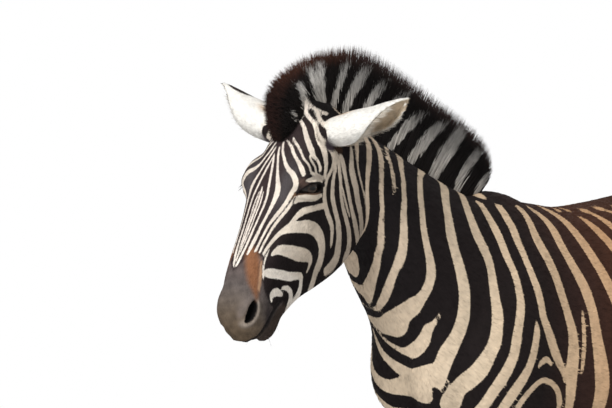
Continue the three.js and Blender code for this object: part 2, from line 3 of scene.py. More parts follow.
import bmesh
import bpy
import numpy as np
import openvdb
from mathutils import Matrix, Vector


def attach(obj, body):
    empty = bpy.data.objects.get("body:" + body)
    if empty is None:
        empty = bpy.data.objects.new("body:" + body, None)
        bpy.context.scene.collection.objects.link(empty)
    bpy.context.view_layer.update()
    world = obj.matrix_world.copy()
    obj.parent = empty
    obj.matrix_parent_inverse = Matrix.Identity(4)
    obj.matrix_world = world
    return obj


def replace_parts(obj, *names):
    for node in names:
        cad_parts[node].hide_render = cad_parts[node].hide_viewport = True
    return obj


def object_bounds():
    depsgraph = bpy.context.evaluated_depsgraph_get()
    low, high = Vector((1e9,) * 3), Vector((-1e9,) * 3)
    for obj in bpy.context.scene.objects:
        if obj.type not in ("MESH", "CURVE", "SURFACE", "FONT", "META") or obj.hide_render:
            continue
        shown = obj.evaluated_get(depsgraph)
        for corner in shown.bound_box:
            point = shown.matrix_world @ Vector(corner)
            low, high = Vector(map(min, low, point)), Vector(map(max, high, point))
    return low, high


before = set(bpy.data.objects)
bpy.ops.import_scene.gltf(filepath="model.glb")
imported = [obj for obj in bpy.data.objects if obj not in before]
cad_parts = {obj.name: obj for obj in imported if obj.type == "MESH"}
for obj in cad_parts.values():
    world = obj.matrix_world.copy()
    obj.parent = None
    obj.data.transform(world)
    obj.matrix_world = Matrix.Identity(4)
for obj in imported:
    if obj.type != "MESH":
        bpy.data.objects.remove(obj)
solids_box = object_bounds()

MM = 0.001
rng = np.random.default_rng(7)

# ---------------------------------------------------------------- driving dimensions, as in the solids
HEAD_PITCH = 60  # degrees that the face points below the horizon
POLL = np.array([-516.0, 0.0, 1509.0])
TAIL_END = 1144.0  # how far back the solids reach in their own frame
BODY_SHIFT = np.array([solids_box[1].x / MM - TAIL_END, 0.0, 0.0])
EYE = np.array([172.6, 67.0, -40.0])  # in the head's own frame, 2.6 mm from the solids' eye
EYE_RADIUS = 24.0  # 2 mm more than the solids' eye has
EAR_BASE = (54, 62, -38)
EAR_LENGTH = 212
EAR_TIPS = {-1: (0.2, -0.92, 0.31), 1: (0.1, 0.91, 0.42)}  # by the side's sign of y
SIDE_NAMES = {-1: "left", 1: "right"}
COAT_DEPTH = 2.6  # how far the skin, without its folds and lids, lies inside the solids at most
HEAD_CELL, BODY_CELL = 3.5, 10.8  # the sizes of the skin's mesh
HEAD_BOX = ((-870.0, -300.0, 960.0), (-340.0, 300.0, 1640.0))
BODY_BOX = ((-560.0, -320.0, 40.0), (1170.0, 320.0, 1600.0))


# ---------------------------------------------------------------- fields
# A field takes points (n, 3) and gives about their distances to its surface, negative inside.
def melt(a, b, k):
    h = np.maximum(k - np.abs(a - b), 0) / k
    return np.minimum(a, b) - h * h * k / 4


def carve(a, b, k):
    return -melt(-a, b, k)


def smooth_rows(rows, steps):
    """The rows of a table with steps - 1 new rows between each two, on a smooth curve."""
    p = np.array(rows, float)
    before = np.vstack([p[:1], p[:-2]])
    after = np.vstack([p[2:], p[-1:]])
    p1, p2 = p[:-1], p[1:]
    m1, m2, d = (p2 - before) / 2, (after - p1) / 2, p2 - p1
    parts = [p1 + f * (m1 + f * (3 * d - 2 * m1 - m2 + f * (m1 + m2 - 2 * d)))
             for f in np.arange(steps) / steps]
    return np.vstack([np.stack(parts, 1).reshape(-1, p.shape[1]), p[-1:]])


def loft(stations, steps=5, near=150):
    """A loft in the plane of x and z. A station is a chord: x1, z1, x2, z2, half width, where it is widest
    from point 2 (0 to 1), roundness (2 is an ellipse) and the y of its middle."""
    rows = smooth_rows(stations, steps)
    x1, z1, x2, z2, w, _, _, y0 = rows.T
    low = np.array([min(x1.min(), x2.min()), (y0 - w).min(), min(z1.min(), z2.min())])
    high = np.array([max(x1.max(), x2.max()), (y0 + w).max(), max(z1.max(), z2.max())])
    chord = np.hypot(x1 - x2, z1 - z2)
    plane = np.stack([-(z1 - z2), x1 - x2, (z1 - z2) * x2 - (x1 - x2) * z2]) / chord
    if (plane[:, 0] @ [(x1 + x2)[-1] / 2, (z1 + z2)[-1] / 2, 1]) < 0:
        plane = -plane

    def section(r, p):
        rx1, rz1, rx2, rz2, rw, widest, power, middle = r.T
        length = np.hypot(rx1 - rx2, rz1 - rz2)
        up = ((p[:, 0] - rx2) * (rx1 - rx2) + (p[:, 2] - rz2) * (rz1 - rz2)) / length - widest * length
        reach = np.where(up > 0, length * (1 - widest), length * widest)
        out = p[:, 1] - middle
        rho = ((np.abs(up) / reach) ** power + (np.abs(out) / rw) ** power) ** (1 / power)
        deep = -np.minimum(reach, rw)
        return np.where(rho > 1e-4, np.hypot(up, out) * (1 - 1 / np.maximum(rho, 1e-4)), deep)

    def capped(d, beyond):
        return np.where(d > 0, np.hypot(d, beyond), np.maximum(d, beyond))

    def exact(p):
        side = p[:, [0, 2]] @ plane[:2] + plane[2]
        best = np.full(len(p), 1e9)
        at, i = np.nonzero((side[:, :-1] >= 0) & (side[:, 1:] < 0))
        f = side[at, i] / (side[at, i] - side[at, i + 1])
        found = section(rows[i] + f[:, None] * (rows[i + 1] - rows[i]), p[at])
        np.minimum.at(best, at, found)
        for end, beyond in ((0, -side[:, 0]), (-1, side[:, -1])):
            past = np.nonzero(beyond >= 0)[0]
            ended = capped(section(np.repeat(rows[end][None], len(past), 0), p[past]), beyond[past])
            best[past] = np.minimum(best[past], ended)
        return best

    def field(p):
        away = np.linalg.norm(np.maximum(np.maximum(low - p, p - high), 0), axis=1)
        close = away <= near
        away[close] = exact(p[close])
        return away

    return field


def egg(centre, radii, pitch=0):
    """An ellipsoid, with its radii along its own axes and turned by pitch about Y, in degrees."""
    c, s = math.cos(math.radians(pitch)), math.sin(math.radians(pitch))
    turn = np.array([[c, 0, -s], [0, 1, 0], [s, 0, c]])
    r = np.array(radii, float)

    def field(p):
        q = (p - np.array(centre, float)) @ turn
        k0 = np.linalg.norm(q / r, axis=1)
        k1 = np.linalg.norm(q / (r * r), axis=1)
        return np.where(k1 > 1e-9, k0 * (k0 - 1) / np.maximum(k1, 1e-9), -r.min())

    return field


def folded(p):
    """The points with those of the right side turned over to the left, or the other way about."""
    return p * [1, 0, 1] + np.abs(p) * [0, 1, 0]


# ---------------------------------------------------------------- trunk, neck and head
# Columns: x and z on the back, x and z on the belly, half width, widest, roundness, middle.
TRUNK = [
    [-160, 1010, -166, 900, 84, 0.5, 2, 0],
    [-114, 1130, -140, 822, 138, 0.45, 2, 0],
    [-50, 1240, -84, 768, 176, 0.42, 2, 0],
    [20, 1298, 20, 736, 196, 0.42, 2, 0],
    [130, 1284, 130, 712, 222, 0.43, 2.1, 0],
    [260, 1267, 260, 690, 246, 0.45, 2.2, 0],
    [400, 1274, 400, 674, 262, 0.46, 2.2, 0],
    [540, 1290, 540, 672, 264, 0.47, 2.2, 0],
    [670, 1304, 690, 704, 250, 0.5, 2.2, 0],
    [790, 1306, 820, 775, 232, 0.52, 2.2, 0],
    [900, 1284, 930, 850, 216, 0.5, 2.1, 0],
    [990, 1240, 1014, 905, 184, 0.5, 2, 0],
    [1054, 1186, 1070, 950, 138, 0.5, 2, 0],
    [1090, 1110, 1096, 1010, 70, 0.5, 2, 0],
]
NECK = [
    [60, 1278, -96, 860, 150, 0.45, 2, 0],
    [-30, 1300, -194, 930, 150, 0.45, 2, 0],
    [-140, 1344, -250, 1020, 124, 0.45, 2, 0],
    [-260, 1402, -308, 1103, 104, 0.45, 2, 0],
    [-380, 1464, -345, 1180, 84, 0.48, 2, 0],
    [-470, 1508, -385, 1232, 76, 0.5, 2, 0],
    [-540, 1522, -435, 1280, 66, 0.5, 2, 0],
]
HEAD = [
    [-16, -40, -4, -110, 34, 0.6, 2, 0],
    [0, -6, 12, -178, 58, 0.6, 2, 0],
    [40, 10, 48, -222, 73, 0.62, 2, 0],
    [90, 14, 105, -252, 80, 0.64, 2, 0],
    [140, 14, 165, -266, 86, 0.66, 2.1, 0],
    [185, 12, 215, -264, 87, 0.68, 2.2, 0],
    [240, 8, 265, -246, 76, 0.64, 2.2, 0],
    [300, 5, 312, -216, 62, 0.58, 2.2, 0],
    [355, 3, 356, -184, 52, 0.54, 2.2, 0],
    [400, -3, 402, -162, 48, 0.52, 2.2, 0],
    [438, -18, 436, -150, 46, 0.5, 2.3, 0],
    [467, -37, 461, -138, 42, 0.5, 2.3, 0],
    [487, -57, 478, -121, 33, 0.5, 2.2, 0],
    [496, -79, 490, -100, 15, 0.5, 2, 0],
]
# Columns: height, x of the front outline, x of the back outline, half width, how far out its middle is.
FRONT_LEG = [
    [60, -90, -10, 37, 0],
    [100, -66, -2, 30, 0],
    [135, -46, 12, 25, 0],
    [165, -38, 30, 28, 0],
    [190, -34, 40, 31, 0],
    [222, -26, 34, 26, 0],
    [275, -22, 28, 20, 0],
    [340, -22, 26, 20, 0],
    [395, -27, 30, 25, 0],
    [440, -36, 34, 33, 0],
    [482, -34, 30, 32, 0],
    [535, -36, 36, 33, 2],
    [605, -46, 50, 41, 6],
    [680, -62, 70, 52, 12],
    [760, -82, 98, 64, 18],
    [850, -114, 118, 73, 17],
    [950, -142, 116, 79, 15],
    [1060, -116, 112, 70, 10],
    [1160, -80, 108, 56, -5],
    [1225, -30, 85, 38, -20],
]
HIND_LEG = [
    [60, 910, 990, 36, 0],
    [100, 934, 1000, 29, 0],
    [135, 954, 1012, 25, 0],
    [165, 966, 1030, 28, 0],
    [190, 976, 1042, 31, 0],
    [225, 988, 1040, 26, 0],
    [290, 1000, 1044, 21, 0],
    [360, 1004, 1052, 21, 0],
    [420, 1003, 1066, 26, 0],
    [470, 1000, 1086, 33, 0],
    [515, 1000, 1102, 32, 0],
    [552, 993, 1096, 27, 0],
    [600, 968, 1078, 30, 2],
    [660, 926, 1064, 42, 6],
    [730, 876, 1064, 58, 12],
    [800, 828, 1078, 76, 20],
    [880, 800, 1094, 92, 24],
    [980, 790, 1104, 104, 20],
    [1080, 806, 1098, 98, 12],
    [1180, 846, 1060, 76, -5],
]
LEGS = {  # table, from the midline to the hoof's middle, side, shift forwards or back
    "front_left": (FRONT_LEG, 96, -1, -14),
    "front_right": (FRONT_LEG, 96, 1, 14),
    "hind_left": (HIND_LEG, 100, -1, -12),
    "hind_right": (HIND_LEG, 100, 1, 16),
}
CORONET = 72
TAIL_CHORDS = [
    [996, 1130, 1040, 1206, 34],
    [1040, 1096, 1096, 1178, 31],
    [1068, 1040, 1124, 1104, 26],
    [1086, 950, 1134, 986, 21],
    [1096, 860, 1134, 872, 17],
    [1102, 770, 1132, 772, 15],
]

# The head's own frame: x from the poll to the lips, y to the left, z out of the forehead.
pitch = math.radians(HEAD_PITCH)
HEAD_AXES = np.array(
    [[-math.cos(pitch), 0, -math.sin(pitch)], [0, -1, 0], [-math.sin(pitch), 0, math.cos(pitch)]]
)


def to_head(p):
    return (p - POLL) @ HEAD_AXES.T


def from_head(q):
    return np.asarray(q, float) @ HEAD_AXES + POLL


def bumps(q, spots):
    """How much spots stand proud at points: each spot is a centre, radii, height and pitch about Y."""
    total = np.zeros(len(q))
    for centre, radii, height, turn in spots:
        c, s = math.cos(math.radians(turn)), math.sin(math.radians(turn))
        d = q - np.array(centre, float)
        a, b = c * d[:, 0] + s * d[:, 2], c * d[:, 2] - s * d[:, 0]
        far = (a / radii[0]) ** 2 + (d[:, 1] / radii[1]) ** 2 + (b / radii[2]) ** 2
        total += height * np.exp(-far)
    return total


skull = loft(HEAD)
brow = egg([164, 64, -22], [42, 25, 26])
cheek = egg([165, 46, -160], [98, 37, 78], 14)
nostril_wing = egg([442, 26, -49], [33, 19, 25], -24)
lip = egg([474, 0, -85], [23, 34, 26])
chin = egg([441, 0, -140], [33, 26, 19])
temple = egg([110, 92, -26], [26, 14, 18])
socket = egg([EYE[0], 97, EYE[2]], [30, 13, 17], 38)


def head_form(q):
    """The head's plain form, as in the solids, in its own frame and folded to the left."""
    d = skull(q)
    for form, width in ((brow, 24), (cheek, 30), (nostril_wing, 16), (lip, 16), (chin, 12)):
        d = melt(d, form(q), width)
    d = carve(d, temple(q), 16)
    return carve(d, socket(q), 8)


trunk = loft(TRUNK)
tail = loft([[*chord, 0.5, 2, 0] for chord in TAIL_CHORDS])
neck = loft(NECK)
haunch = egg([895, 128, 1080], [170, 105, 170], 20)
breast = egg([-140, 60, 928], [84, 62, 94])
shoulder = egg([-4, 134, 1020], [84, 60, 165], -18)
flank = egg([738, 285, 1010], [48, 34, 110], -15)
leg_forms = []
for table, stance, side, shift in LEGS.values():
    rows = [
        [front + shift, z, back + shift, z, w, 0.5, 2.1, stance + out] for z, front, back, w, out in table
    ]
    leg_forms.append((loft(rows), side))


def body_form(p):
    f = folded(p)
    d = melt(trunk(p), neck(p), 70)
    for form, width in ((breast, 50), (haunch, 60), (shoulder, 60)):
        d = melt(d, form(f), width)
    d = carve(d, flank(f), 60)
    for form, side in leg_forms:
        d = melt(d, form(p * [1, side, 1]), 34)
    return d


# ---------------------------------------------------------------- the skin's fine forms on the head
LID_THICK = 3.8
EYE_PITCH = math.radians(47)  # from the head's x axis to the eye's long axis, inner corner forwards
# The eye's opening: place along its long axis, the lower lid's edge and the upper lid's edge across it.
EYE_OPENING = [
    [-32, -3.6, -3.4],
    [-26, -8.8, 1.2],
    [-18, -11.6, 4.4],
    [-4, -12.2, 6.4],
    [10, -8.8, 6.4],
    [20, -5.4, 4.6],
    [28, -4, 1.2],
    [36, -4.6, -3.4],
]


def eye_frame(q):
    """Along the eye's long axis (forwards positive) and across it (up positive), from the eye's middle."""
    d = q - EYE
    c, s = math.cos(EYE_PITCH), math.sin(EYE_PITCH)
    return c * d[:, 0] + s * d[:, 2], c * d[:, 2] - s * d[:, 0]


def lid_edges(along):
    """The edges of the lower and the upper lid at places along the eye."""
    at, lower, upper = smooth_rows(EYE_OPENING, 5).T
    return np.interp(along, at, lower), np.interp(along, at, upper)


def outside_opening(along, across):
    """About how far points are outside the eye's opening, negative in it."""
    lower, upper = lid_edges(along)
    ends = np.maximum(EYE_OPENING[0][0] - along, along - EYE_OPENING[-1][0])
    return np.maximum(np.maximum(across - upper, lower - across), ends)


def curve_distance(a, b, points, steps=4, reach=40):
    """Distances in a plane from points (a, b) to the edge of a smooth curve, negative inside it. The curve's
    points are (a, b, half width)."""
    rows = smooth_rows(points, steps)
    best = np.full(len(a), 1e3)
    near = (a > rows[:, 0].min() - reach) & (a < rows[:, 0].max() + reach)
    near &= (b > rows[:, 1].min() - reach) & (b < rows[:, 1].max() + reach)
    pa, pb = a[near], b[near]
    found = np.full(len(pa), 1e3)
    for (a0, b0, w0), (a1, b1, w1) in zip(rows[:-1], rows[1:]):
        da, db = a1 - a0, b1 - b0
        f = np.clip(((pa - a0) * da + (pb - b0) * db) / max(da * da + db * db, 1e-9), 0, 1)
        d = np.hypot(pa - a0 - f * da, pb - b0 - f * db) - (w0 + f * (w1 - w0))
        found = np.minimum(found, d)
    best[near] = found
    return best


def ridge(distance, width):
    return np.exp(-((distance / width) ** 2))


# Folds of the skin round the eye, in the eye's frame: height, width, and points along and across.
EYE_FOLDS = [
    (-1.8, 1.4, [(-34, 2, 0), (-24, 12, 0), (-6, 16, 0), (12, 15, 0), (24, 11, 0), (36, 2, 0)]),  # upper lid
    (2.2, 4.0, [(-36, 12, 0), (-22, 22, 0), (0, 26, 0), (20, 23, 0), (36, 12, 0)]),  # the brow's soft fold
    (-1.3, 1.2, [(10, 21, 0), (22, 17, 0), (33, 8, 0)]),
    (-1.5, 1.3, [(-24, -17, 0), (-8, -20, 0), (8, -17, 0), (22, -11, 0), (33, -7, 0)]),  # lower lid
    (-1.2, 1.5, [(-20, -26, 0), (-4, -29, 0), (14, -26, 0), (30, -17, 0)]),
    (1.0, 2.2, [(-22, -22, 0), (-6, -24.5, 0), (11, -21, 0), (28, -13, 0)]),
    (-1.6, 1.2, [(35, -5, 0), (39, -14, 0), (40, -26, 0)]),  # the tear's way
]
# Soft forms of bone and muscle on the side of the face: centre, radii, height, pitch.
FACE_FORMS = [
    ((262, 62, -92), (74, 40, 15), 2.6, -24),  # the facial crest
    ((300, 50, -128), (70, 50, 28), -2.8, -24),  # the hollow under it
    ((250, 50, -28), (80, 40, 20), -2.2, 4),  # the hollow before the eye
    ((330, 22, 4), (90, 12, 14), 1.5, 0),  # the edge of the nasal bone
    ((222, 60, -205), (40, 40, 30), 2.0, 20),  # the angle of the jaw
    ((436, 40, -88), (14, 30, 13), 1.6, 0),  # the swell of the lip's corner
    ((404, 46, -96), (14, 30, 9), 2.0, 0),
    ((482, 0, -60), (24, 46, 28), 4.2, 0),  # the front of the muzzle, rounded to the lip
]
NOSTRIL = np.array([449.5, 46.0, -48.0])
NOSTRIL_TURN = math.radians(-5)
# The nostril's hole: points along it and across it, with its half width.
NOSTRIL_HOLE = [(-18, 1.5, 4), (-10, -1, 8), (0, -4, 9.4), (11, -6.5, 7.6), (20, -8, 3)]
MOUTH = [
    (386, -119, 0),
    (394, -113, 0),
    (408, -105, 0),
    (427, -102, 0),
    (448, -101, 0),
    (471, -100, 0),
    (488, -98, 0),
    (502, -95, 0),
]


def below_mouth(q):
    """How far points are below the line of the mouth."""
    at, height, _ = np.array(MOUTH, float).T
    return np.interp(q[:, 0], at, height) - q[:, 2]


def nostril_frame(q):
    """Along the nostril's slit, across it (forwards positive) and outwards, from the middle of the slit."""
    d = q - NOSTRIL
    c, s = math.cos(NOSTRIL_TURN), math.sin(NOSTRIL_TURN)
    return c * d[:, 0] - s * d[:, 2], s * d[:, 0] + c * d[:, 2], d[:, 1]


def outside_nostril(slit, gape):
    """How far points are outside the nostril's hole, negative in it."""
    return curve_distance(slit, gape, NOSTRIL_HOLE)


def head_details(q, d):
    """Adds lids, nostrils, mouth and folds to the head's form d at points q, folded to the left."""
    along, across = eye_frame(q)
    from_eye = np.linalg.norm(q - EYE, axis=1)
    outer = np.maximum(1 - np.maximum(from_eye - 45, 0) / 30, 0)
    d = melt(d, from_eye - EYE_RADIUS - LID_THICK, 12)
    for height, width, points in EYE_FOLDS:
        d = d - height * outer * ridge(curve_distance(along, across, points), width)
    opening = outside_opening(along, across)
    d = d - 0.9 * outer * ridge(opening - 2.6, 2.0)
    opening = np.maximum(opening, EYE[1] - 2 - q[:, 1])
    d = carve(d, opening, 2.0)
    d = np.maximum(d, EYE_RADIUS + 0.4 - from_eye)
    d = d - bumps(q, FACE_FORMS)
    slit, gape, out = nostril_frame(q)
    hole = outside_nostril(slit, gape)
    at_nostril = (q[:, 1] > 10) * np.exp(-((out / 30) ** 2))
    rear_side = 1 / (1 + np.exp(gape / 3))
    d = d - at_nostril * ridge(hole - 5, 4.5) * (1.4 + 1.8 * rear_side)
    d = d + 1.2 * at_nostril * ridge(hole - 14, 5.0) * rear_side
    hole = np.maximum(hole, np.abs(out + 2) - 24)
    d = carve(d, hole, 4)
    lips = curve_distance(q[:, 0], q[:, 2], MOUTH)
    at_lips = np.clip((q[:, 0] - 382) / 12, 0, 1)
    d = d + at_lips * (5.0 * ridge(lips, 2.2) - 1.4 * ridge(lips - 6.5, 4))
    return d


# ---------------------------------------------------------------- ears
# An ear is a leaf rolled into a cup. Each row gives the place along the ear (0 to 1), the cup's half width
# and half depth, the angles from the opening to its front rim and its rear rim, the turn of the opening to
# the front and how far the middle of the cup is off the straight line. Towards the tip the opening turns
# further to the front than in the solids.
LEAF = [
    [0, 25, 27, 12, 12, -10, 0],
    [0.12, 31, 30, 18, 16, -6, -3],
    [0.28, 37, 33, 34, 24, 0, -7],
    [0.44, 39, 33, 58, 36, 6, -10],
    [0.6, 35, 29, 72, 46, 24, -10],
    [0.76, 26, 22, 80, 54, 42, -5],
    [0.9, 14, 13, 84, 62, 58, 2],
    [1, 3, 4, 84, 70, 66, 9],
]
LEAF_THICK = 5


def ear_axes(side):
    """The ear's base and its directions to the tip, out of its opening and to its front."""
    axis = np.array(EAR_TIPS[side])
    axis /= np.linalg.norm(axis)
    down = np.array([0.45, side * 0.25, -0.85])
    down -= down @ axis * axis
    down /= np.linalg.norm(down)
    front = np.cross(axis, down) * side
    base = from_head([EAR_BASE[0], -side * EAR_BASE[1], EAR_BASE[2]])
    return base, axis, down, front


def ear_rings(side, steps=6, around=26):
    """Rings of points round the ear's wall, outside and then inside."""
    base, axis, down, front = ear_axes(side)
    rings = []
    for f, wide, deep, to_front, to_rear, turn, off in smooth_rows(LEAF, steps):
        c, s = math.cos(math.radians(turn)), math.sin(math.radians(turn))
        opening, ahead = down * c + front * s, front * c - down * s
        middle = base + axis * f * EAR_LENGTH - down * off
        angles = np.radians(to_front + (360 - to_front - to_rear) * np.arange(around) / (around - 1))[:, None]

        def wall(inset):
            across, out = wide - inset, deep - inset
            return middle + ahead * np.sin(angles) * across + opening * np.cos(angles) * out

        rings.append(np.vstack([wall(0), wall(min(LEAF_THICK, 0.45 * wide))[::-1]]))
    return rings


# ---------------------------------------------------------------- from fields to one skin
NAPE_POINT = np.array([-400.0, 0.0, 1560.0])  # the head's finer part of the skin ends at this plane
NAPE_NORMAL = np.array([380.0, 0.0, 28.0]) / math.hypot(380, 28)
STITCH = 1.5  # each part of the skin stops this far before the plane
CHUNK = 60000


def in_chunks(function, p):
    return np.concatenate([function(p[i : i + CHUNK]) for i in range(0, len(p), CHUNK)])


def sampled(field, low, high, cell, block=4):
    """A field's values on a grid, exact only where its surface may be near."""
    low = np.array(low, float)
    count = np.ceil((np.array(high) - low) / cell / block).astype(int)
    coarse = np.indices(count).reshape(3, -1).T * block + (block - 1) / 2
    rough = in_chunks(field, low + coarse * cell).reshape(count)
    values = rough.repeat(block, 0).repeat(block, 1).repeat(block, 2)
    near = np.argwhere(np.abs(values) < 1.1 * math.sqrt(3) * block * cell)
    values[tuple(near.T)] = in_chunks(field, low + near * cell)
    return values


def surface(values, low, cell):
    """The points and faces where a grid of values is zero."""
    grid = openvdb.FloatGrid(3.0 * cell)
    grid.copyFromArray(np.clip(values, -3 * cell, 3 * cell).astype(np.float32))
    points, triangles, quads = grid.convertToPolygons(isovalue=0.0, adaptivity=0.0)
    return points * cell + np.array(low), triangles, quads


def fill_mesh(bm, points, triangles, quads):
    verts = [bm.verts.new(p) for p in points]
    for face in (*triangles, *quads):
        bm.faces.new([verts[i] for i in face])


def ear_values(shape, low, cell, side):
    """The distances to an ear's wall on the head's grid."""
    rings = ear_rings(side)
    around = len(rings[0])
    points = (np.vstack(rings) - low) / cell
    k = np.arange(around)
    start = np.arange(len(rings) - 1)[:, None] * around
    nxt = (k + 1) % around
    walls = np.stack([start + k, start + nxt, start + nxt + around, start + k + around], -1).reshape(-1, 4)
    strip = np.arange(around // 2 - 1)
    ends = []
    for first in (0, (len(rings) - 1) * around):
        ends.append(first + np.stack([strip, strip + 1, around - 2 - strip, around - 1 - strip], 1))
    ends[0] = ends[0][:, ::-1]
    quads = np.vstack([walls, ends[0][:, ::-1], ends[1]]).astype(np.uint32)
    grid = openvdb.FloatGrid.createLevelSetFromPolygons(
        points.astype(np.float32), quads=quads, transform=openvdb.createLinearTransform(1.0), halfWidth=6.0
    )
    values = np.zeros(shape, np.float32)
    grid.copyToArray(values)
    return values * cell


def coat_depth(p):
    """How far the skin lies inside the solids: less on the face and the lower legs."""
    on_head = 1 / (1 + np.exp((to_head(p)[:, 0] - 60) / -40))
    low_leg = np.clip((600 - p[:, 2]) / 300, 0, 1)
    return COAT_DEPTH * (1 - 0.55 * np.maximum(on_head, low_leg))


def body_skin(p):
    head_q = to_head(folded(p) * [1, -1, 1])
    d = melt(body_form(p), head_form(head_q), 30)
    return melt(d, tail(p), 24) + coat_depth(p)


def head_skin(p):
    q = to_head(folded(p) * [1, -1, 1])
    d = melt(body_form(p), head_form(q), 30) + coat_depth(p)
    near = (np.abs(d) < 40) & (q[:, 0] > 60)
    d[near] = head_details(q[near], d[near])
    return d


def cut(bm, normal, offset):
    geometry = [*bm.verts, *bm.edges, *bm.faces]
    point = NAPE_POINT + NAPE_NORMAL * offset
    bmesh.ops.bisect_plane(
        bm, geom=geometry, dist=0.01, plane_co=point, plane_no=normal, clear_outer=True
    )


def finer_edges(bm):
    """The skin's edges where the stripes are finest: on the nose and forehead, and over the fore legs."""
    edges = list(bm.edges)
    p = np.array([(e.verts[0].co + e.verts[1].co) / 2 for e in edges])
    q = to_head(p)
    top = np.interp(q[:, 0], TOP_T, TOP_N)
    on_nose = (q[:, 0] > 95) & (q[:, 0] < 392) & (np.abs(q[:, 1]) + top - q[:, 2] < 58) & (q[:, 2] > top - 60)
    x, y, z = p.T
    on_shoulder = (x > -90) & (x < 150) & (z > 860) & (z < 1080) & (np.abs(y) > 120)
    return [edges[i] for i in np.nonzero(on_nose | on_shoulder)[0]]


def make_skin():
    bm = bmesh.new()
    body = sampled(body_skin, *BODY_BOX, BODY_CELL)
    fill_mesh(bm, *surface(body, BODY_BOX[0], BODY_CELL))
    cut(bm, -NAPE_NORMAL, STITCH)
    head_bm = bmesh.new()
    low = HEAD_BOX[0]
    head = sampled(head_skin, *HEAD_BOX, HEAD_CELL)
    for side in EAR_TIPS:
        head = melt(head, ear_values(head.shape, low, HEAD_CELL, side), 12)
    fill_mesh(head_bm, *surface(head, low, HEAD_CELL))
    cut(head_bm, NAPE_NORMAL, -STITCH)
    part = bpy.data.meshes.new("head_part")
    head_bm.to_mesh(part)
    bm.from_mesh(part)
    bpy.data.meshes.remove(part)
    rims = [e for e in bm.edges if e.is_boundary]
    bmesh.ops.bridge_loops(bm, edges=rims)
    finer = finer_edges(bm)
    bmesh.ops.subdivide_edges(bm, edges=finer, cuts=1, use_grid_fill=True)
    bmesh.ops.recalc_face_normals(bm, faces=bm.faces)
    mesh = bpy.data.meshes.new("skin")
    bm.to_mesh(mesh)
    return mesh


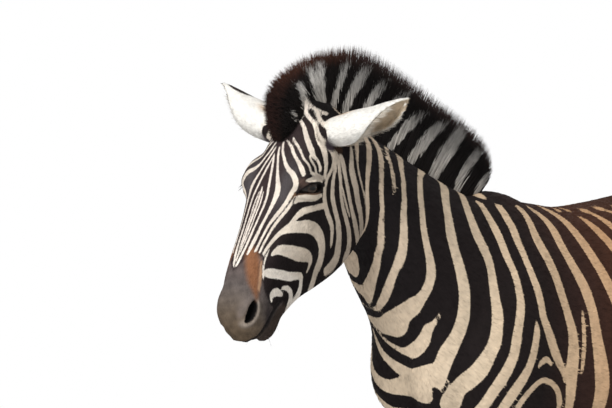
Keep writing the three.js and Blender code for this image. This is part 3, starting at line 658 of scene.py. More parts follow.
# ---------------------------------------------------------------- markings
# The coat is dark with light stripes. A stripe is a smooth line of points, each with the stripe's half width.
# On the head a point is how far round the head from its midline, and its x in the head's frame.
FACE_STRIPES = [
    # the thin stripes of the nose and forehead, from the midline outwards
    [(0, 196, 1.5), (4, 212, 2.2), (5, 240, 2), (4, 300, 2), (2, 345, 2), (0, 384, 1.5)],
    [(10, 212, 1), (12, 235, 1.8), (11, 262, 1.6), (10, 301, 1.6), (7, 335, 1.6), (3, 365, 1)],
    [(2, 128, 2), (6, 140, 2.6), (11, 159, 2.8), (16, 180, 3), (20, 199, 3), (24, 217, 3), (25, 234, 2.8),
     (23, 257, 2.4), (21, 278, 2.4), (18.5, 301, 2.6), (17, 322, 3), (14, 347, 3), (8, 372, 3),
     (5, 384, 2)],
    [(9, 112, 2), (14, 128, 2.6), (20, 142, 2.8), (29, 163, 3.2), (36, 178, 4.5), (44, 192, 6.5),
     (49, 206, 7.5), (49, 222, 6.5), (46, 240, 4.8), (42, 261, 3.6), (38, 280, 3.6), (35, 301, 4.2),
     (32, 320, 4.8), (28, 346, 3)],
    [(15, 101, 2.2), (23, 120, 3), (36, 136, 3.6), (48, 149, 4.4), (61, 159, 5), (75, 167, 6), (90, 180, 7),
     (94, 192, 7), (88, 205, 6), (83, 220, 5), (74, 240, 4.8), (65, 257, 4.2), (56, 278, 3.4), (50, 309, 3),
     (47, 330, 3.4), (45, 344, 3)],
    [(104, 206, 3), (99, 215, 3.6), (93, 230, 4), (85, 245, 4), (77.5, 260, 3.8), (69, 280, 3.2),
     (64, 300, 3), (60, 320, 3), (58, 338, 2.4)],
    [(122, 247, 4), (112, 262, 6), (100, 275, 6), (88, 290, 5), (80, 305, 4.2), (74, 320, 3.8),
     (69, 338, 3)],
    # the brow
    [(23, 94, 2), (41, 106, 3.4), (55, 119, 4), (69, 130, 4), (82, 141, 5), (95, 152, 6.4), (104, 160, 6)],
    [(36, 86, 2), (48, 95, 3), (62, 103, 3), (76, 114, 3), (89, 126, 3), (99, 131, 3), (112, 138, 3.2),
     (119, 146, 3)],
    [(30, 44, 3), (45, 53, 4), (56, 62, 5), (69, 75, 6), (80, 84, 6.5), (91, 93, 7), (103, 102, 7),
     (110, 108, 5), (123, 112, 3.4), (134, 119, 3.6), (141, 126, 4), (142, 132, 3)],
    [(103, 104, 4), (102, 114, 3), (109, 121, 3), (117, 125, 3), (127, 131, 3), (134, 141, 3),
     (142, 148, 3)],
    [(12, 4, 3), (22, 14, 3.6), (34, 27, 3.6), (52, 35, 3.6), (70, 42, 4), (84, 52, 4.4), (95, 64, 5),
     (109, 74, 6), (123, 80, 7), (137, 92, 7), (145, 102, 6), (153, 114, 5), (157, 126, 4), (160, 136, 3)],
    [(46, 12, 3), (60, 20, 4), (76, 29, 4.4), (90, 38, 4.4), (104, 47, 3)],
    [(4, 0, 6), (18, 9, 6), (33, 12, 5), (50, 13, 4.5), (66, 13.5, 4.5), (84, 11, 5)],
    [(124, 150, 4), (140, 147, 5), (156, 141, 4), (166, 134, 3)],
    # from the ear down the cheek
    [(139, 74, 6), (153, 77, 8), (166, 85, 8.5), (171, 96, 7.5), (171, 110, 4), (169, 133, 3.4),
     (171, 153, 4), (178, 172, 5), (192, 190, 6), (207, 202, 6), (222, 212, 5.4), (230, 223, 4.6),
     (237, 240, 3.4), (240, 249, 1)],
    [(179, 104, 3.6), (183, 123, 4.2), (190, 143, 5), (200, 163, 6), (215, 180, 6), (232, 195, 6),
     (243, 208, 7), (253, 223, 7.4), (260, 240, 8.4), (263, 254, 8.4), (258, 270, 7), (247, 286, 6)],
    [(180, 88, 4.4), (193, 107, 4.6), (205, 123, 4.4), (215, 140, 4), (227, 157, 4.4), (243, 173, 5),
     (260, 187, 5.6), (273, 199, 6), (283, 213, 6.6), (288, 228, 6), (286, 242, 5)],
    [(217, 133, 1.6), (232, 148, 2.6), (248, 163, 2.6), (262, 174, 2)],
    [(176, 76, 5), (193, 87, 5.6), (208, 103, 5), (227, 122, 4.8), (243, 140, 4.8), (260, 157, 5),
     (277, 172, 6), (292, 185, 7), (304, 196, 7)],
    [(191, 44, 3), (207, 65, 5), (218, 83, 7), (233, 98, 8), (250, 113, 7.6), (267, 132, 7.4),
     (283, 147, 7), (297, 162, 6.4), (309, 180, 6)],
    [(214, 50, 2), (236, 74, 4), (258, 92, 5), (282, 112, 6), (300, 130, 6), (316, 152, 6)],
    # under the eye and round the mouth
    [(104, 214, 5), (116, 204, 6), (138, 195, 5), (155, 188, 4), (165, 178, 3)],
    [(112, 256, 3), (121, 240, 5), (133, 225, 7), (147, 215, 6), (161, 207, 5.6), (172, 199, 5.6),
     (184, 191, 5.6)],
    [(100, 276, 6), (114, 264, 10), (138, 253, 11), (157, 245, 12), (171, 241, 12), (187, 240, 12),
     (203, 246, 11), (216, 258, 9), (223, 273, 8), (224, 287, 8), (222, 300, 7), (223, 314, 6),
     (223, 328, 5.4), (222, 340, 4)],
    [(94, 326, 4), (101, 317, 7), (112, 310, 9.6), (130, 305, 11), (146, 301, 12.4), (160, 298, 13),
     (175, 293, 12), (188, 289, 9.6), (197, 292, 6), (200, 302, 3), (199, 314, 1.6)],
    [(92, 366, 6), (101, 363, 9), (112, 359, 9.4), (124, 355, 9), (140, 350, 9), (156, 345, 8.4),
     (169, 338, 7.4), (181, 331, 6.4), (188, 328, 5), (193, 337, 4.6), (197, 350, 5), (193, 366, 4.6),
     (185, 380, 3)],
    [(149, 372, 2.6), (162, 366, 5), (174, 367, 6), (180, 378, 5.6), (179, 392, 5), (176, 407, 4)],
    [(127, 408, 3), (127, 396, 6.4), (137, 386, 8), (151, 383, 4.6)],
    [(81, 322, 1.6), (80, 334, 2.2), (80, 348, 2.6), (83, 362, 3), (88, 373, 2.6), (92, 382, 1.4)],
]
# On the body a point is x and z.
BODY_STRIPES = [
    [(-486, 1517, 6), (-468, 1509, 6), (-456, 1498, 5), (-447, 1482, 4), (-443, 1464, 3)],
    [(-442, 1500, 8), (-428, 1474, 9), (-424, 1440, 8), (-432, 1400, 6), (-440, 1360, 4)],
    [(-402, 1486, 9), (-388, 1456, 9), (-378, 1428, 9), (-388, 1400, 9), (-402, 1362, 7), (-405, 1330, 5),
     (-400, 1300, 5), (-390, 1258, 5), (-378, 1212, 4), (-362, 1180, 3)],
    [(-358, 1474, 9), (-347, 1450, 9), (-345, 1430, 9), (-347, 1405, 8.5), (-358, 1370, 7.5),
     (-365, 1332, 6), (-361, 1290, 5), (-354, 1250, 5), (-342, 1208, 4), (-326, 1160, 4), (-304, 1110, 4),
     (-283, 1070, 3)],
    [(-280, 1412, 3), (-303, 1409, 5), (-321, 1397, 6), (-325, 1368, 6), (-331, 1335, 5.5),
     (-334, 1318, 3.5)],
    [(-250, 1394, 6), (-270, 1388, 8), (-288, 1373, 8), (-298, 1348, 7), (-305, 1315, 7), (-312, 1275, 7.5),
     (-311, 1240, 8), (-309, 1205, 8), (-306, 1170, 6.4), (-301, 1130, 6), (-293, 1095, 5.4),
     (-282, 1060, 4)],
    [(-165, 1358, 4), (-200, 1358, 6), (-225, 1352, 7), (-245, 1335, 8), (-257, 1310, 8.5), (-262, 1280, 8),
     (-264, 1250, 8), (-259, 1215, 8), (-250, 1180, 9), (-245, 1150, 10), (-248, 1120, 10),
     (-257, 1092, 11), (-266, 1068, 12), (-262, 1045, 8), (-248, 1014, 3)],
    [(-122, 1333, 6), (-140, 1327, 9.5), (-165, 1312, 12), (-180, 1290, 12), (-186, 1265, 12),
     (-190, 1235, 13.5), (-188, 1205, 12), (-182, 1175, 12), (-177, 1150, 12), (-172, 1115, 12),
     (-171, 1085, 12), (-172, 1055, 13), (-177, 1025, 13), (-187, 1000, 14), (-200, 970, 14),
     (-207, 940, 12), (-205, 914, 6)],
    [(-214, 1072, 1), (-219, 1050, 4), (-225, 1020, 6), (-227, 995, 6), (-225, 974, 2)],
    [(-72, 1311, 7), (-95, 1300, 10), (-110, 1280, 12), (-115, 1255, 12.5), (-115, 1230, 13.5),
     (-109, 1205, 13), (-102, 1180, 12), (-100, 1155, 10), (-102, 1125, 9), (-104, 1095, 9),
     (-105, 1065, 10), (-110, 1035, 10), (-117, 1005, 11), (-131, 975, 12), (-146, 945, 15),
     (-165, 920, 18), (-178, 898, 19), (-178, 872, 22)],
    [(-33, 1301, 6), (-42, 1285, 8), (-50, 1260, 10), (-52, 1235, 10), (-52, 1210, 9), (-54, 1180, 8),
     (-52, 1150, 7), (-53, 1120, 7), (-55, 1090, 8), (-60, 1065, 9), (-67, 1040, 9), (-75, 1010, 10),
     (-82, 980, 10), (-95, 950, 11), (-110, 920, 11.5), (-120, 898, 10), (-127, 868, 9), (-130, 840, 9)],
    [(5, 1301, 6), (-1, 1280, 8), (-6, 1255, 9), (-10, 1230, 9), (-14, 1200, 8), (-16, 1170, 7),
     (-14, 1140, 8), (-10, 1110, 9), (-7, 1080, 9), (-5, 1055, 9.4), (5, 1030, 10.5), (16, 1005, 12),
     (28, 980, 12), (42, 958, 10), (56, 938, 7), (66, 914, 3)],
    [(-25, 1047, 2), (-25, 1025, 8), (-30, 1000, 9), (-37, 975, 9.5), (-47, 950, 10), (-62, 925, 11.5),
     (-75, 905, 12), (-90, 875, 11), (-98, 845, 9)],
    [(44, 1288, 7), (52, 1265, 9), (47, 1240, 10), (42, 1215, 12), (40, 1190, 13), (45, 1160, 13),
     (52, 1130, 12), (57, 1105, 12), (65, 1075, 11), (72, 1050, 11), (79, 1025, 12), (82, 1000, 13),
     (82, 970, 15), (80, 940, 15), (82, 910, 13), (88, 872, 10), (96, 835, 8), (104, 800, 6)],
    [(98, 1272, 7), (110, 1250, 10), (110, 1225, 11), (107, 1195, 11.5), (112, 1165, 12), (120, 1140, 12.5),
     (130, 1110, 13), (135, 1085, 12.5), (140, 1055, 12), (142, 1025, 12.5), (145, 995, 14), (150, 965, 16),
     (155, 935, 18), (160, 905, 18), (163, 872, 17), (165, 830, 15), (166, 780, 12), (168, 740, 8)],
    [(113, 1060, 2.5), (112, 1035, 4.5), (111, 1000, 4.8), (108, 965, 4.8), (105, 930, 3)],
    [(158, 1267, 8), (167, 1245, 11), (170, 1220, 12), (175, 1190, 12.5), (182, 1160, 12.5),
     (191, 1130, 13), (201, 1095, 13), (209, 1060, 12), (215, 1020, 12), (219, 980, 13), (223, 930, 14),
     (227, 870, 14), (231, 800, 12), (235, 730, 9)],
    [(236, 1246, 5), (240, 1232, 11), (244, 1212, 12.5), (251, 1190, 12.5), (259, 1160, 12.5),
     (268, 1120, 12.5), (276, 1070, 12), (282, 1010, 12), (286, 940, 13), (290, 860, 13), (293, 780, 11),
     (295, 715, 8)],
    # the chevrons over the fore leg
    [(-20, 950, 3), (-11, 960, 6.5), (2, 965, 6.5), (14, 958, 5), (20, 952, 3)],
    [(-62, 868, 7), (-50, 888, 7), (-30, 908, 6.4), (-6, 921, 6), (20, 916, 6), (44, 901, 6.4),
     (58, 880, 7), (68, 850, 6)],
]
# On the breast, where the skin faces forwards, a point is y (the right side is positive) and z.
BREAST_STRIPES = [
    [(10, 1225, 18), (24, 1182, 20), (32, 1160, 18), (33, 1148, 6)],
    [(64, 1225, 16), (60, 1182, 18), (53, 1163, 14), (41, 1151, 5)],
    [(-58, 1215, 6), (-43, 1180, 7), (-31, 1160, 9), (-16, 1140, 11), (-1, 1122, 14), (14, 1106, 15),
     (22, 1093, 9), (24, 1086, 3)],
    [(78, 1137, 3), (58, 1126, 7), (38, 1116, 11), (20, 1110, 14)],
    [(-90, 1215, 5), (-80, 1180, 5.5), (-70, 1160, 6), (-58, 1140, 7), (-45, 1120, 8), (-29, 1100, 8),
     (-12, 1086, 7), (4, 1075, 5), (22, 1075, 3), (48, 1080, 2), (72, 1085, 2)],
    [(76, 1052, 6), (50, 1046, 11), (24, 1038, 17), (2, 1037, 20), (-19, 1042, 25), (-44, 1062, 17),
     (-70, 1080, 14), (-95, 1102, 12), (-112, 1132, 11), (-116, 1180, 11), (-118, 1220, 11)],
    [(64, 1037, 1.6), (45, 1020, 2.4), (30, 1006, 3.4), (14, 997, 5), (-8, 987, 6.5), (-24, 984, 9),
     (-45, 987, 15), (-66, 1005, 13), (-80, 1030, 8.6), (-90, 1056, 5), (-97, 1075, 2)],
    [(82, 1034, 2), (75, 1018, 4), (66, 1000, 6), (50, 979, 7), (28, 960, 9), (2, 943, 13), (-32, 930, 19),
     (-62, 932, 23), (-85, 936, 26)],
    [(100, 978, 3), (93, 954, 6), (81, 933, 9), (58, 915, 12), (34, 906, 15), (8, 908, 20), (-25, 906, 24),
     (-60, 905, 28)],
    [(95, 893, 5), (75, 872, 9), (50, 852, 10), (20, 838, 10)],
]
# Short dashes on the back: x, z and half the length.
BACK_DASHES = [(202, 1262, 14), (240, 1260, 12), (290, 1257, 15), (338, 1260, 13), (388, 1262, 15)]


def haunch_and_flank():
    """The stripes behind those in the photo: down the flank, and swept back over the haunch."""
    found = []
    for k in range(5):
        x, low = 296 + 56 * k, 690 + 4 * k
        found.append([
            (x - 6, 1256, 6), (x, 1226, 11), (x + 14, 1170, 12.5), (x + 28, 1090, 12.5),
            (x + 38 - 3 * k, 1000, 12.5), (x + 42 - 6 * k, 900, 12.5), (x + 40 - 9 * k, 790, 11),
            (x + 36 - 10 * k, low, 7),
        ])
    found += [
        [(572, 1292, 8), (580, 1250, 11), (592, 1190, 12), (598, 1110, 12), (592, 1010, 12), (572, 900, 12),
         (560, 790, 10), (552, 705, 7)],
        [(648, 1296, 8), (660, 1262, 10), (682, 1236, 9), (712, 1218, 4)],
        [(716, 1302, 8), (742, 1284, 9), (782, 1270, 5)],
        [(790, 1306, 7), (834, 1296, 8), (880, 1284, 4)],
        [(612, 700, 7), (612, 800, 10), (620, 900, 12), (640, 1000, 12), (674, 1084, 12), (730, 1158, 12.5),
         (806, 1218, 12), (892, 1252, 10), (968, 1256, 5)],
        [(664, 735, 6), (668, 820, 10), (688, 905, 12), (724, 985, 13), (784, 1064, 13.5),
         (864, 1128, 13.5), (952, 1172, 13), (1034, 1192, 9)],
        [(722, 772, 6), (744, 848, 11), (790, 920, 14), (864, 994, 15), (948, 1048, 15), (1032, 1082, 14),
         (1092, 1092, 10)],
        [(784, 784, 7), (838, 848, 13), (914, 912, 15), (1002, 960, 15), (1100, 992, 12)],
        [(816, 726, 7), (884, 788, 12), (966, 842, 14), (1042, 874, 13), (1104, 892, 11)],
        [(852, 676, 7), (924, 728, 11), (1000, 770, 12), (1096, 800, 10)],
    ]
    return found


def leg_bars(table, top, arch, wide, narrow):
    """Bars across a leg from a height down to the hoof, closer together the lower they are."""
    found = []
    heights, fronts, backs = np.array(table, float)[:, :3].T
    z = top
    while z > CORONET + 16:
        share = (z - CORONET) / (top - CORONET)
        front, back = np.interp(z, heights, fronts), np.interp(z, heights, backs)
        period = narrow + (wide - narrow) * share
        w, rise, middle = 0.23 * period, arch * share, (front + back) / 2
        found.append([
            (front - 14, z - rise, 0.7 * w), (middle - 0.3 * (back - front), z + 0.2 * rise, w),
            (middle + 0.2 * (back - front), z + 0.3 * rise, w), (back + 14, z - 0.6 * rise, 0.8 * w),
        ])
        z -= period
    return found


BODY_STRIPES += haunch_and_flank()
BODY_STRIPES += leg_bars(FRONT_LEG, 838, 26, 42, 27)
BODY_STRIPES += leg_bars(HIND_LEG, 640, -14, 44, 27)
for x, z, length in BACK_DASHES:
    BODY_STRIPES.append([(x - length, z - 1, 1), (x, z + 1, 3.4), (x + length, z + 4, 1)])

MANE_STRIPES = [
    [(-572, 1490, 3), (-558, 1482, 5), (-548, 1470, 3)],
    [(-548, 1546, 6), (-537, 1528, 10), (-530, 1504, 9)],
    [(-478, 1502, 9), (-492, 1530, 12), (-505, 1555, 11), (-503, 1580, 7)],
    [(-474, 1502, 8), (-483, 1545, 10), (-475, 1592, 8)],
    [(-444, 1496, 8), (-431, 1535, 9), (-418, 1562, 9), (-392, 1600, 5)],
    [(-408, 1484, 10), (-393, 1520, 12), (-370, 1548, 13), (-336, 1580, 9)],
    [(-360, 1478, 10), (-332, 1513, 11), (-302, 1538, 10), (-272, 1556, 4)],
    [(-312, 1450, 9), (-290, 1478, 10), (-255, 1505, 11), (-213, 1527, 7)],
    [(-280, 1406, 9), (-255, 1428, 12), (-232, 1448, 12), (-200, 1468, 10), (-158, 1485, 4)],
    [(-216, 1378, 11), (-192, 1402, 14), (-168, 1425, 13), (-135, 1446, 11), (-96, 1464, 5)],
    [(-150, 1340, 14), (-122, 1378, 18), (-95, 1408, 17), (-62, 1432, 15), (-28, 1448, 5)],
    [(-76, 1308, 9), (-55, 1345, 12), (-35, 1370, 12), (-5, 1390, 9), (27, 1404, 4)],
    [(-14, 1298, 7), (12, 1328, 9), (34, 1347, 5)],
]


def stripe_depth(a, b, stripes):
    """How deep points of a plane are in the nearest light stripe: positive inside, negative in the dark."""
    best = np.full(len(a), -FAR_DEPTH)
    for points in stripes:
        best = np.minimum(best, curve_distance(a, b, points))
    return -best


def blend(a, b, share):
    return a + (b - a) * share


def smoothstep(v, low, high):
    f = np.clip((v - low) / (high - low), 0, 1)
    return f * f * (3 - 2 * f)


# Where the dark muzzle begins: places round the head, and how far along the head it is there.
MUZZLE_EDGE = ((0, 20, 32, 45, 70, 76, 82, 92, 104, 130, 160, 220),
               (386, 368, 348, 340, 338, 352, 376, 384, 398, 416, 424, 430))
# The rust-coloured patch and its light rim, as stripes of the head. The rim is a painted highlight along the
# edge of the muzzle.
RUST = [(38, 344, 13), (50, 360, 19), (63, 382, 17), (76, 404, 9), (82, 418, 3)]
RUST_RIM_HIGHLIGHT = [(72, 350, 1), (77, 362, 3), (83, 382, 3.4), (87, 402, 2)]
LID_LIGHTS = [  # in the eye's frame
    [(14, 17.5, 3), (4, 16.5, 4.8), (-10, 14, 5), (-22, 9, 4.2), (-31, 3.5, 3)],
    [(-20, -22, 3.6), (-8, -24, 4.6), (4, -23.5, 5), (17, -20, 5), (27, -17, 6.5), (35, -16, 5)],
]
TEAR_LINE = [(34, -4, 1.4), (38, -12, 1.0), (40, -20, 0.9), (43, -30, 0.5)]
# The line between the neck and the mane.
CREST_X = (-560, -540, -500, -460, -400, -300, -200, -100, -40, 10)
CREST_Z = (1440, 1480, 1506, 1504, 1476, 1424, 1376, 1328, 1300, 1290)
TOP_T, TOP_N = np.array(HEAD, float)[:, 0], np.array(HEAD, float)[:, 1]
DORSAL_STRIPE = 9.0  # half the width of the dark line along the back
FACE_MIDLINE = 3.0  # the face's pattern is off the middle by this much
# How deep plain parts are in the light, and stripes that are far away.
MUZZLE_DEPTH, PLAIN_DEPTH, EAR_DEPTH, FAR_DEPTH = -12.0, 6.0, 9.0, -30.0


def round_head(q):
    """About how far round the head points are from the pattern's midline: the way aside and the way down,
    added up."""
    u = np.abs(q[:, 1]) + np.interp(q[:, 0], TOP_T, TOP_N) - q[:, 2]
    return np.abs(np.where(q[:, 1] > 0, u, -u) - FACE_MIDLINE) + FACE_MIDLINE


def behind_nape(p):
    """How far points are behind the plane where the pattern of the head meets that of the neck."""
    return ((p[:, 0] + 482) * 380 + (p[:, 2] - 1560) * 110) / math.hypot(380, 110)


def muzzle_share(q, u):
    """How much points belong to the dark muzzle."""
    edge = np.interp(u, MUZZLE_EDGE[0], MUZZLE_EDGE[1])
    return smoothstep(q[:, 0] - edge, -4, 4)


def lid_skin(q):
    """How far points are outside the eye's opening, how deep they are in the lids' light skin, and how far
    they are outside the opening's dark rim and the dark line of the tear."""
    along, across = eye_frame(q)
    outside = np.where(np.abs(q[:, 1]) > 40, outside_opening(along, across), 99.0)
    light = stripe_depth(along, across, LID_LIGHTS)
    light[outside > 60] = FAR_DEPTH
    margin = np.where(across > 0, 2.2, 4.6)
    tear = curve_distance(along, across, TEAR_LINE)
    return outside, light, np.minimum(outside - margin, tear)


def ear_place(p):
    """For each ear: how far along it points are (0 to 1), how far they are to its rear (-1 to 1) and how
    much they belong to it."""
    found = []
    at, wide = np.array(LEAF, float)[:, :2].T
    for side in EAR_TIPS:
        base, axis, down, front = ear_axes(side)
        d = p - base
        along = d @ axis
        aside = np.linalg.norm(d - along[:, None] * axis, axis=1)
        share = smoothstep(along, 16, 34) * (aside < 62) * (np.sign(p[:, 1]) == side)
        f = along / EAR_LENGTH
        found.append((f, -(d @ front + 0.5 * (d @ down)) / np.interp(f, at, wide), share))
    return found


def inside_ear(p, n):
    """How much points are on the hollow side of an ear's wall."""
    inside = np.zeros(len(p))
    for side in EAR_TIPS:
        base, axis, down, _ = ear_axes(side)
        d = p - base - 6 * down
        d = d - (d @ axis)[:, None] * axis
        outwards = (d * n).sum(1) / np.maximum(np.linalg.norm(d, axis=1), 1)
        inside = np.where(np.sign(p[:, 1]) == side, smoothstep(-outwards, -0.1, 0.35), inside)
    return inside


EAR_FOOT_MARKS = [  # on the head below the ears: place round and along the head, radii and colour
    ((141, 70), (19, 13), (0.06, 0.045, 0.055)),
    ((165, 66), (14, 10), (0.05, 0.028, 0.018)),
]
# Dark patches of the ears: place along the ear, place to its rear, and their radii.
EAR_PATCHES = [(0.76, 1.15, 0.17, 0.72), (0.2, 1.1, 0.15, 0.7)]


def ear_depth(f, rear):
    """How deep points of an ear are in its light parts: dark patches lie on its rear."""
    depth = np.full(len(f), EAR_DEPTH)
    for at, to_rear, long, wide in EAR_PATCHES:
        depth = np.minimum(depth, 14 * (np.hypot((f - at) / long, (rear - to_rear) / wide) - 1))
    return depth


def leg_shift(p):
    """How far the solids' legs are shifted forwards or back, for points on them."""
    shift = np.zeros(len(p))
    for (_, _, side, by), end in zip(LEGS.values(), ("fore", "fore", "hind", "hind")):
        here = (np.sign(p[:, 1]) == side) & ((p[:, 0] < 500) == (end == "fore"))
        shift += here * by * smoothstep(-p[:, 2], -900, -700)
    return shift


def breast_share(p, n):
    """How much points belong to the breast, where the pattern is laid out from the front."""
    share = smoothstep(p[:, 1], -96, -74) * smoothstep(-p[:, 1], -112, -86) * smoothstep(-n[:, 0], 0.05, 0.3)
    return share * smoothstep(p[:, 2], 846, 870) * smoothstep(-p[:, 2], -1212, -1186) * (p[:, 0] < -60)


def light_depth(p, n):
    """How deep points p with normals n are in the light parts of the coat: negative in the dark parts."""
    q = to_head(p)
    u = round_head(q)
    face = stripe_depth(u, q[:, 0], FACE_STRIPES)
    _, lids, edge = lid_skin(q)
    face = np.minimum(np.maximum(face, lids), edge)
    face = blend(face, MUZZLE_DEPTH, muzzle_share(q, u))
    body = stripe_depth(p[:, 0] - leg_shift(p), p[:, 2], BODY_STRIPES)
    body = blend(body, stripe_depth(p[:, 1], p[:, 2], BREAST_STRIPES), breast_share(p, n))
    crest = smoothstep(p[:, 2] - np.interp(p[:, 0], CREST_X, CREST_Z), -14, 4)
    body = blend(body, stripe_depth(p[:, 0], p[:, 2], MANE_STRIPES), crest * (p[:, 0] < 60))
    along_back = smoothstep(n[:, 2], 0.5, 0.8) * smoothstep(p[:, 0], 30, 90)
    body = blend(body, np.minimum(body, np.abs(p[:, 1]) - DORSAL_STRIPE), along_back)
    under = smoothstep(-n[:, 2], 0.55, 0.85) * (p[:, 2] > 600) * (p[:, 2] < 900) * (p[:, 0] > 60)
    body = blend(body, PLAIN_DEPTH, under)
    inner = smoothstep(-n[:, 1] * np.sign(p[:, 1]), 0.5, 0.9)
    inner = inner * smoothstep(p[:, 2], 560, 680) * (p[:, 2] < 900)
    body = blend(body, PLAIN_DEPTH, inner)
    depth = blend(face, body, smoothstep(behind_nape(p), -5, 5))
    for f, rear, share in ear_place(p):
        depth = blend(depth, blend(ear_depth(f, rear), EAR_DEPTH, inside_ear(p, n)), share)
    return depth


# ---------------------------------------------------------------- tints of the dark and the light parts
def ramp(v, stops):
    """Colours along v, from stops of a value and a colour."""
    at = [s[0] for s in stops]
    return np.stack([np.interp(v, at, [s[1][c] for s in stops]) for c in range(3)], 1)


def spot(a, b, centre, radii):
    return np.exp(-(((a - centre[0]) / radii[0]) ** 2) - ((b - centre[1]) / radii[1]) ** 2)


def mixed(a, b, share):
    return a + (np.asarray(b) - a) * share[:, None]


DARK_ALONG_BODY = [  # x and the colour there
    (-380, (0.009, 0.007, 0.0075)), (0, (0.014, 0.0095, 0.009)), (130, (0.036, 0.0175, 0.0135)),
    (240, (0.062, 0.025, 0.0145)), (700, (0.05, 0.024, 0.016)), (1050, (0.035, 0.02, 0.015)),
]
LIGHT_ALONG_BODY = [
    (-380, (0.6, 0.48, 0.36)), (-150, (0.68, 0.55, 0.4)), (80, (0.66, 0.47, 0.3)),
    (240, (0.62, 0.37, 0.2)), (700, (0.6, 0.4, 0.24)), (1050, (0.6, 0.45, 0.3)),
]
LEG_DARK_COLOR = (0.018, 0.014, 0.013)
LEG_LIGHT_COLOR = (0.64, 0.55, 0.44)
MOTTLE_WAVES = ((0.21, 0.13, 0.05), (-0.11, 0.24, 0.17), (0.07, -0.19, 0.29), (0.31, 0.08, -0.2))


def body_tints(p):
    """Black to reddish brown and cream to orange from the neck to the flank, and plainer on the legs."""
    dark, light = ramp(p[:, 0], DARK_ALONG_BODY), ramp(p[:, 0], LIGHT_ALONG_BODY)
    low = smoothstep(-p[:, 2], -900, -640)
    return mixed(dark, LEG_DARK_COLOR, low), mixed(light, LEG_LIGHT_COLOR, low)


def blotches(q):
    """A soft mottle of the muzzle's skin, from -1 to 1."""
    total = np.zeros(len(q))
    for k, (a, b, c) in enumerate(MOTTLE_WAVES):
        total += np.sin(a * q[:, 0] + b * q[:, 1] + c * q[:, 2] + 2.1 * k) / 4
    return total * 1.6


POLL_DARK_COLOR = (0.009, 0.007, 0.007)
NOSE_LIGHT_COLOR = (0.84, 0.77, 0.68)
# a painted sheen: the grey that sunlit dark hair shows beside the eye
FACE_PAINTED_SHEEN_COLOR = (0.1, 0.09, 0.093)
MUZZLE_SIDE_COLOR = (0.03, 0.024, 0.024)
LID_EDGE_COLOR = (0.01, 0.008, 0.008)
# Colours round the face from its midline, and along the muzzle. Round towards the cheek both face tints
# darken: painted shade on the cheek.
FACE_LIGHT_WITH_CHEEK_SHADE = [
    (0, (0.8, 0.71, 0.63)), (110, (0.8, 0.71, 0.6)), (170, (0.62, 0.53, 0.43)), (300, (0.46, 0.38, 0.3))
]
FACE_DARK_WITH_CHEEK_SHADE = [(0, (0.042, 0.028, 0.028)), (80, (0.034, 0.024, 0.024)), (125, (0.011, 0.008, 0.008))]
MUZZLE_GREY = [
    (370, (0.115, 0.088, 0.082)), (410, (0.125, 0.104, 0.096)), (440, (0.132, 0.106, 0.088)),
    (465, (0.125, 0.094, 0.068)), (496, (0.11, 0.078, 0.05)),
]
EAR_DARK_COLOR = (0.03, 0.02, 0.018)
RUST_COLOR = (0.29, 0.125, 0.058)
RUST_EDGE_HIGHLIGHT_COLOR = (0.6, 0.36, 0.21)
NOSTRIL_RIM_COLOR = (0.37, 0.31, 0.26)
OVER_NOSTRIL_COLOR = (0.2, 0.165, 0.15)
NOSTRIL_COLOR = (0.005, 0.004, 0.004)
LIP_LINE_SHADE_COLOR = (0.012, 0.01, 0.01)
CHIN_COLOR = (0.05, 0.036, 0.029)
BROW_COLOR = (0.13, 0.082, 0.066)
LOWER_LID_COLOR = (0.15, 0.085, 0.05)
EAR_COLOR = (0.95, 0.92, 0.86)
# painted shade: the hollow side of the ear, tan and darker than its white hair
EAR_HOLLOW_SHADE_COLOR = (0.66, 0.53, 0.38)
EAR_FOOT_COLOR = (0.56, 0.35, 0.18)


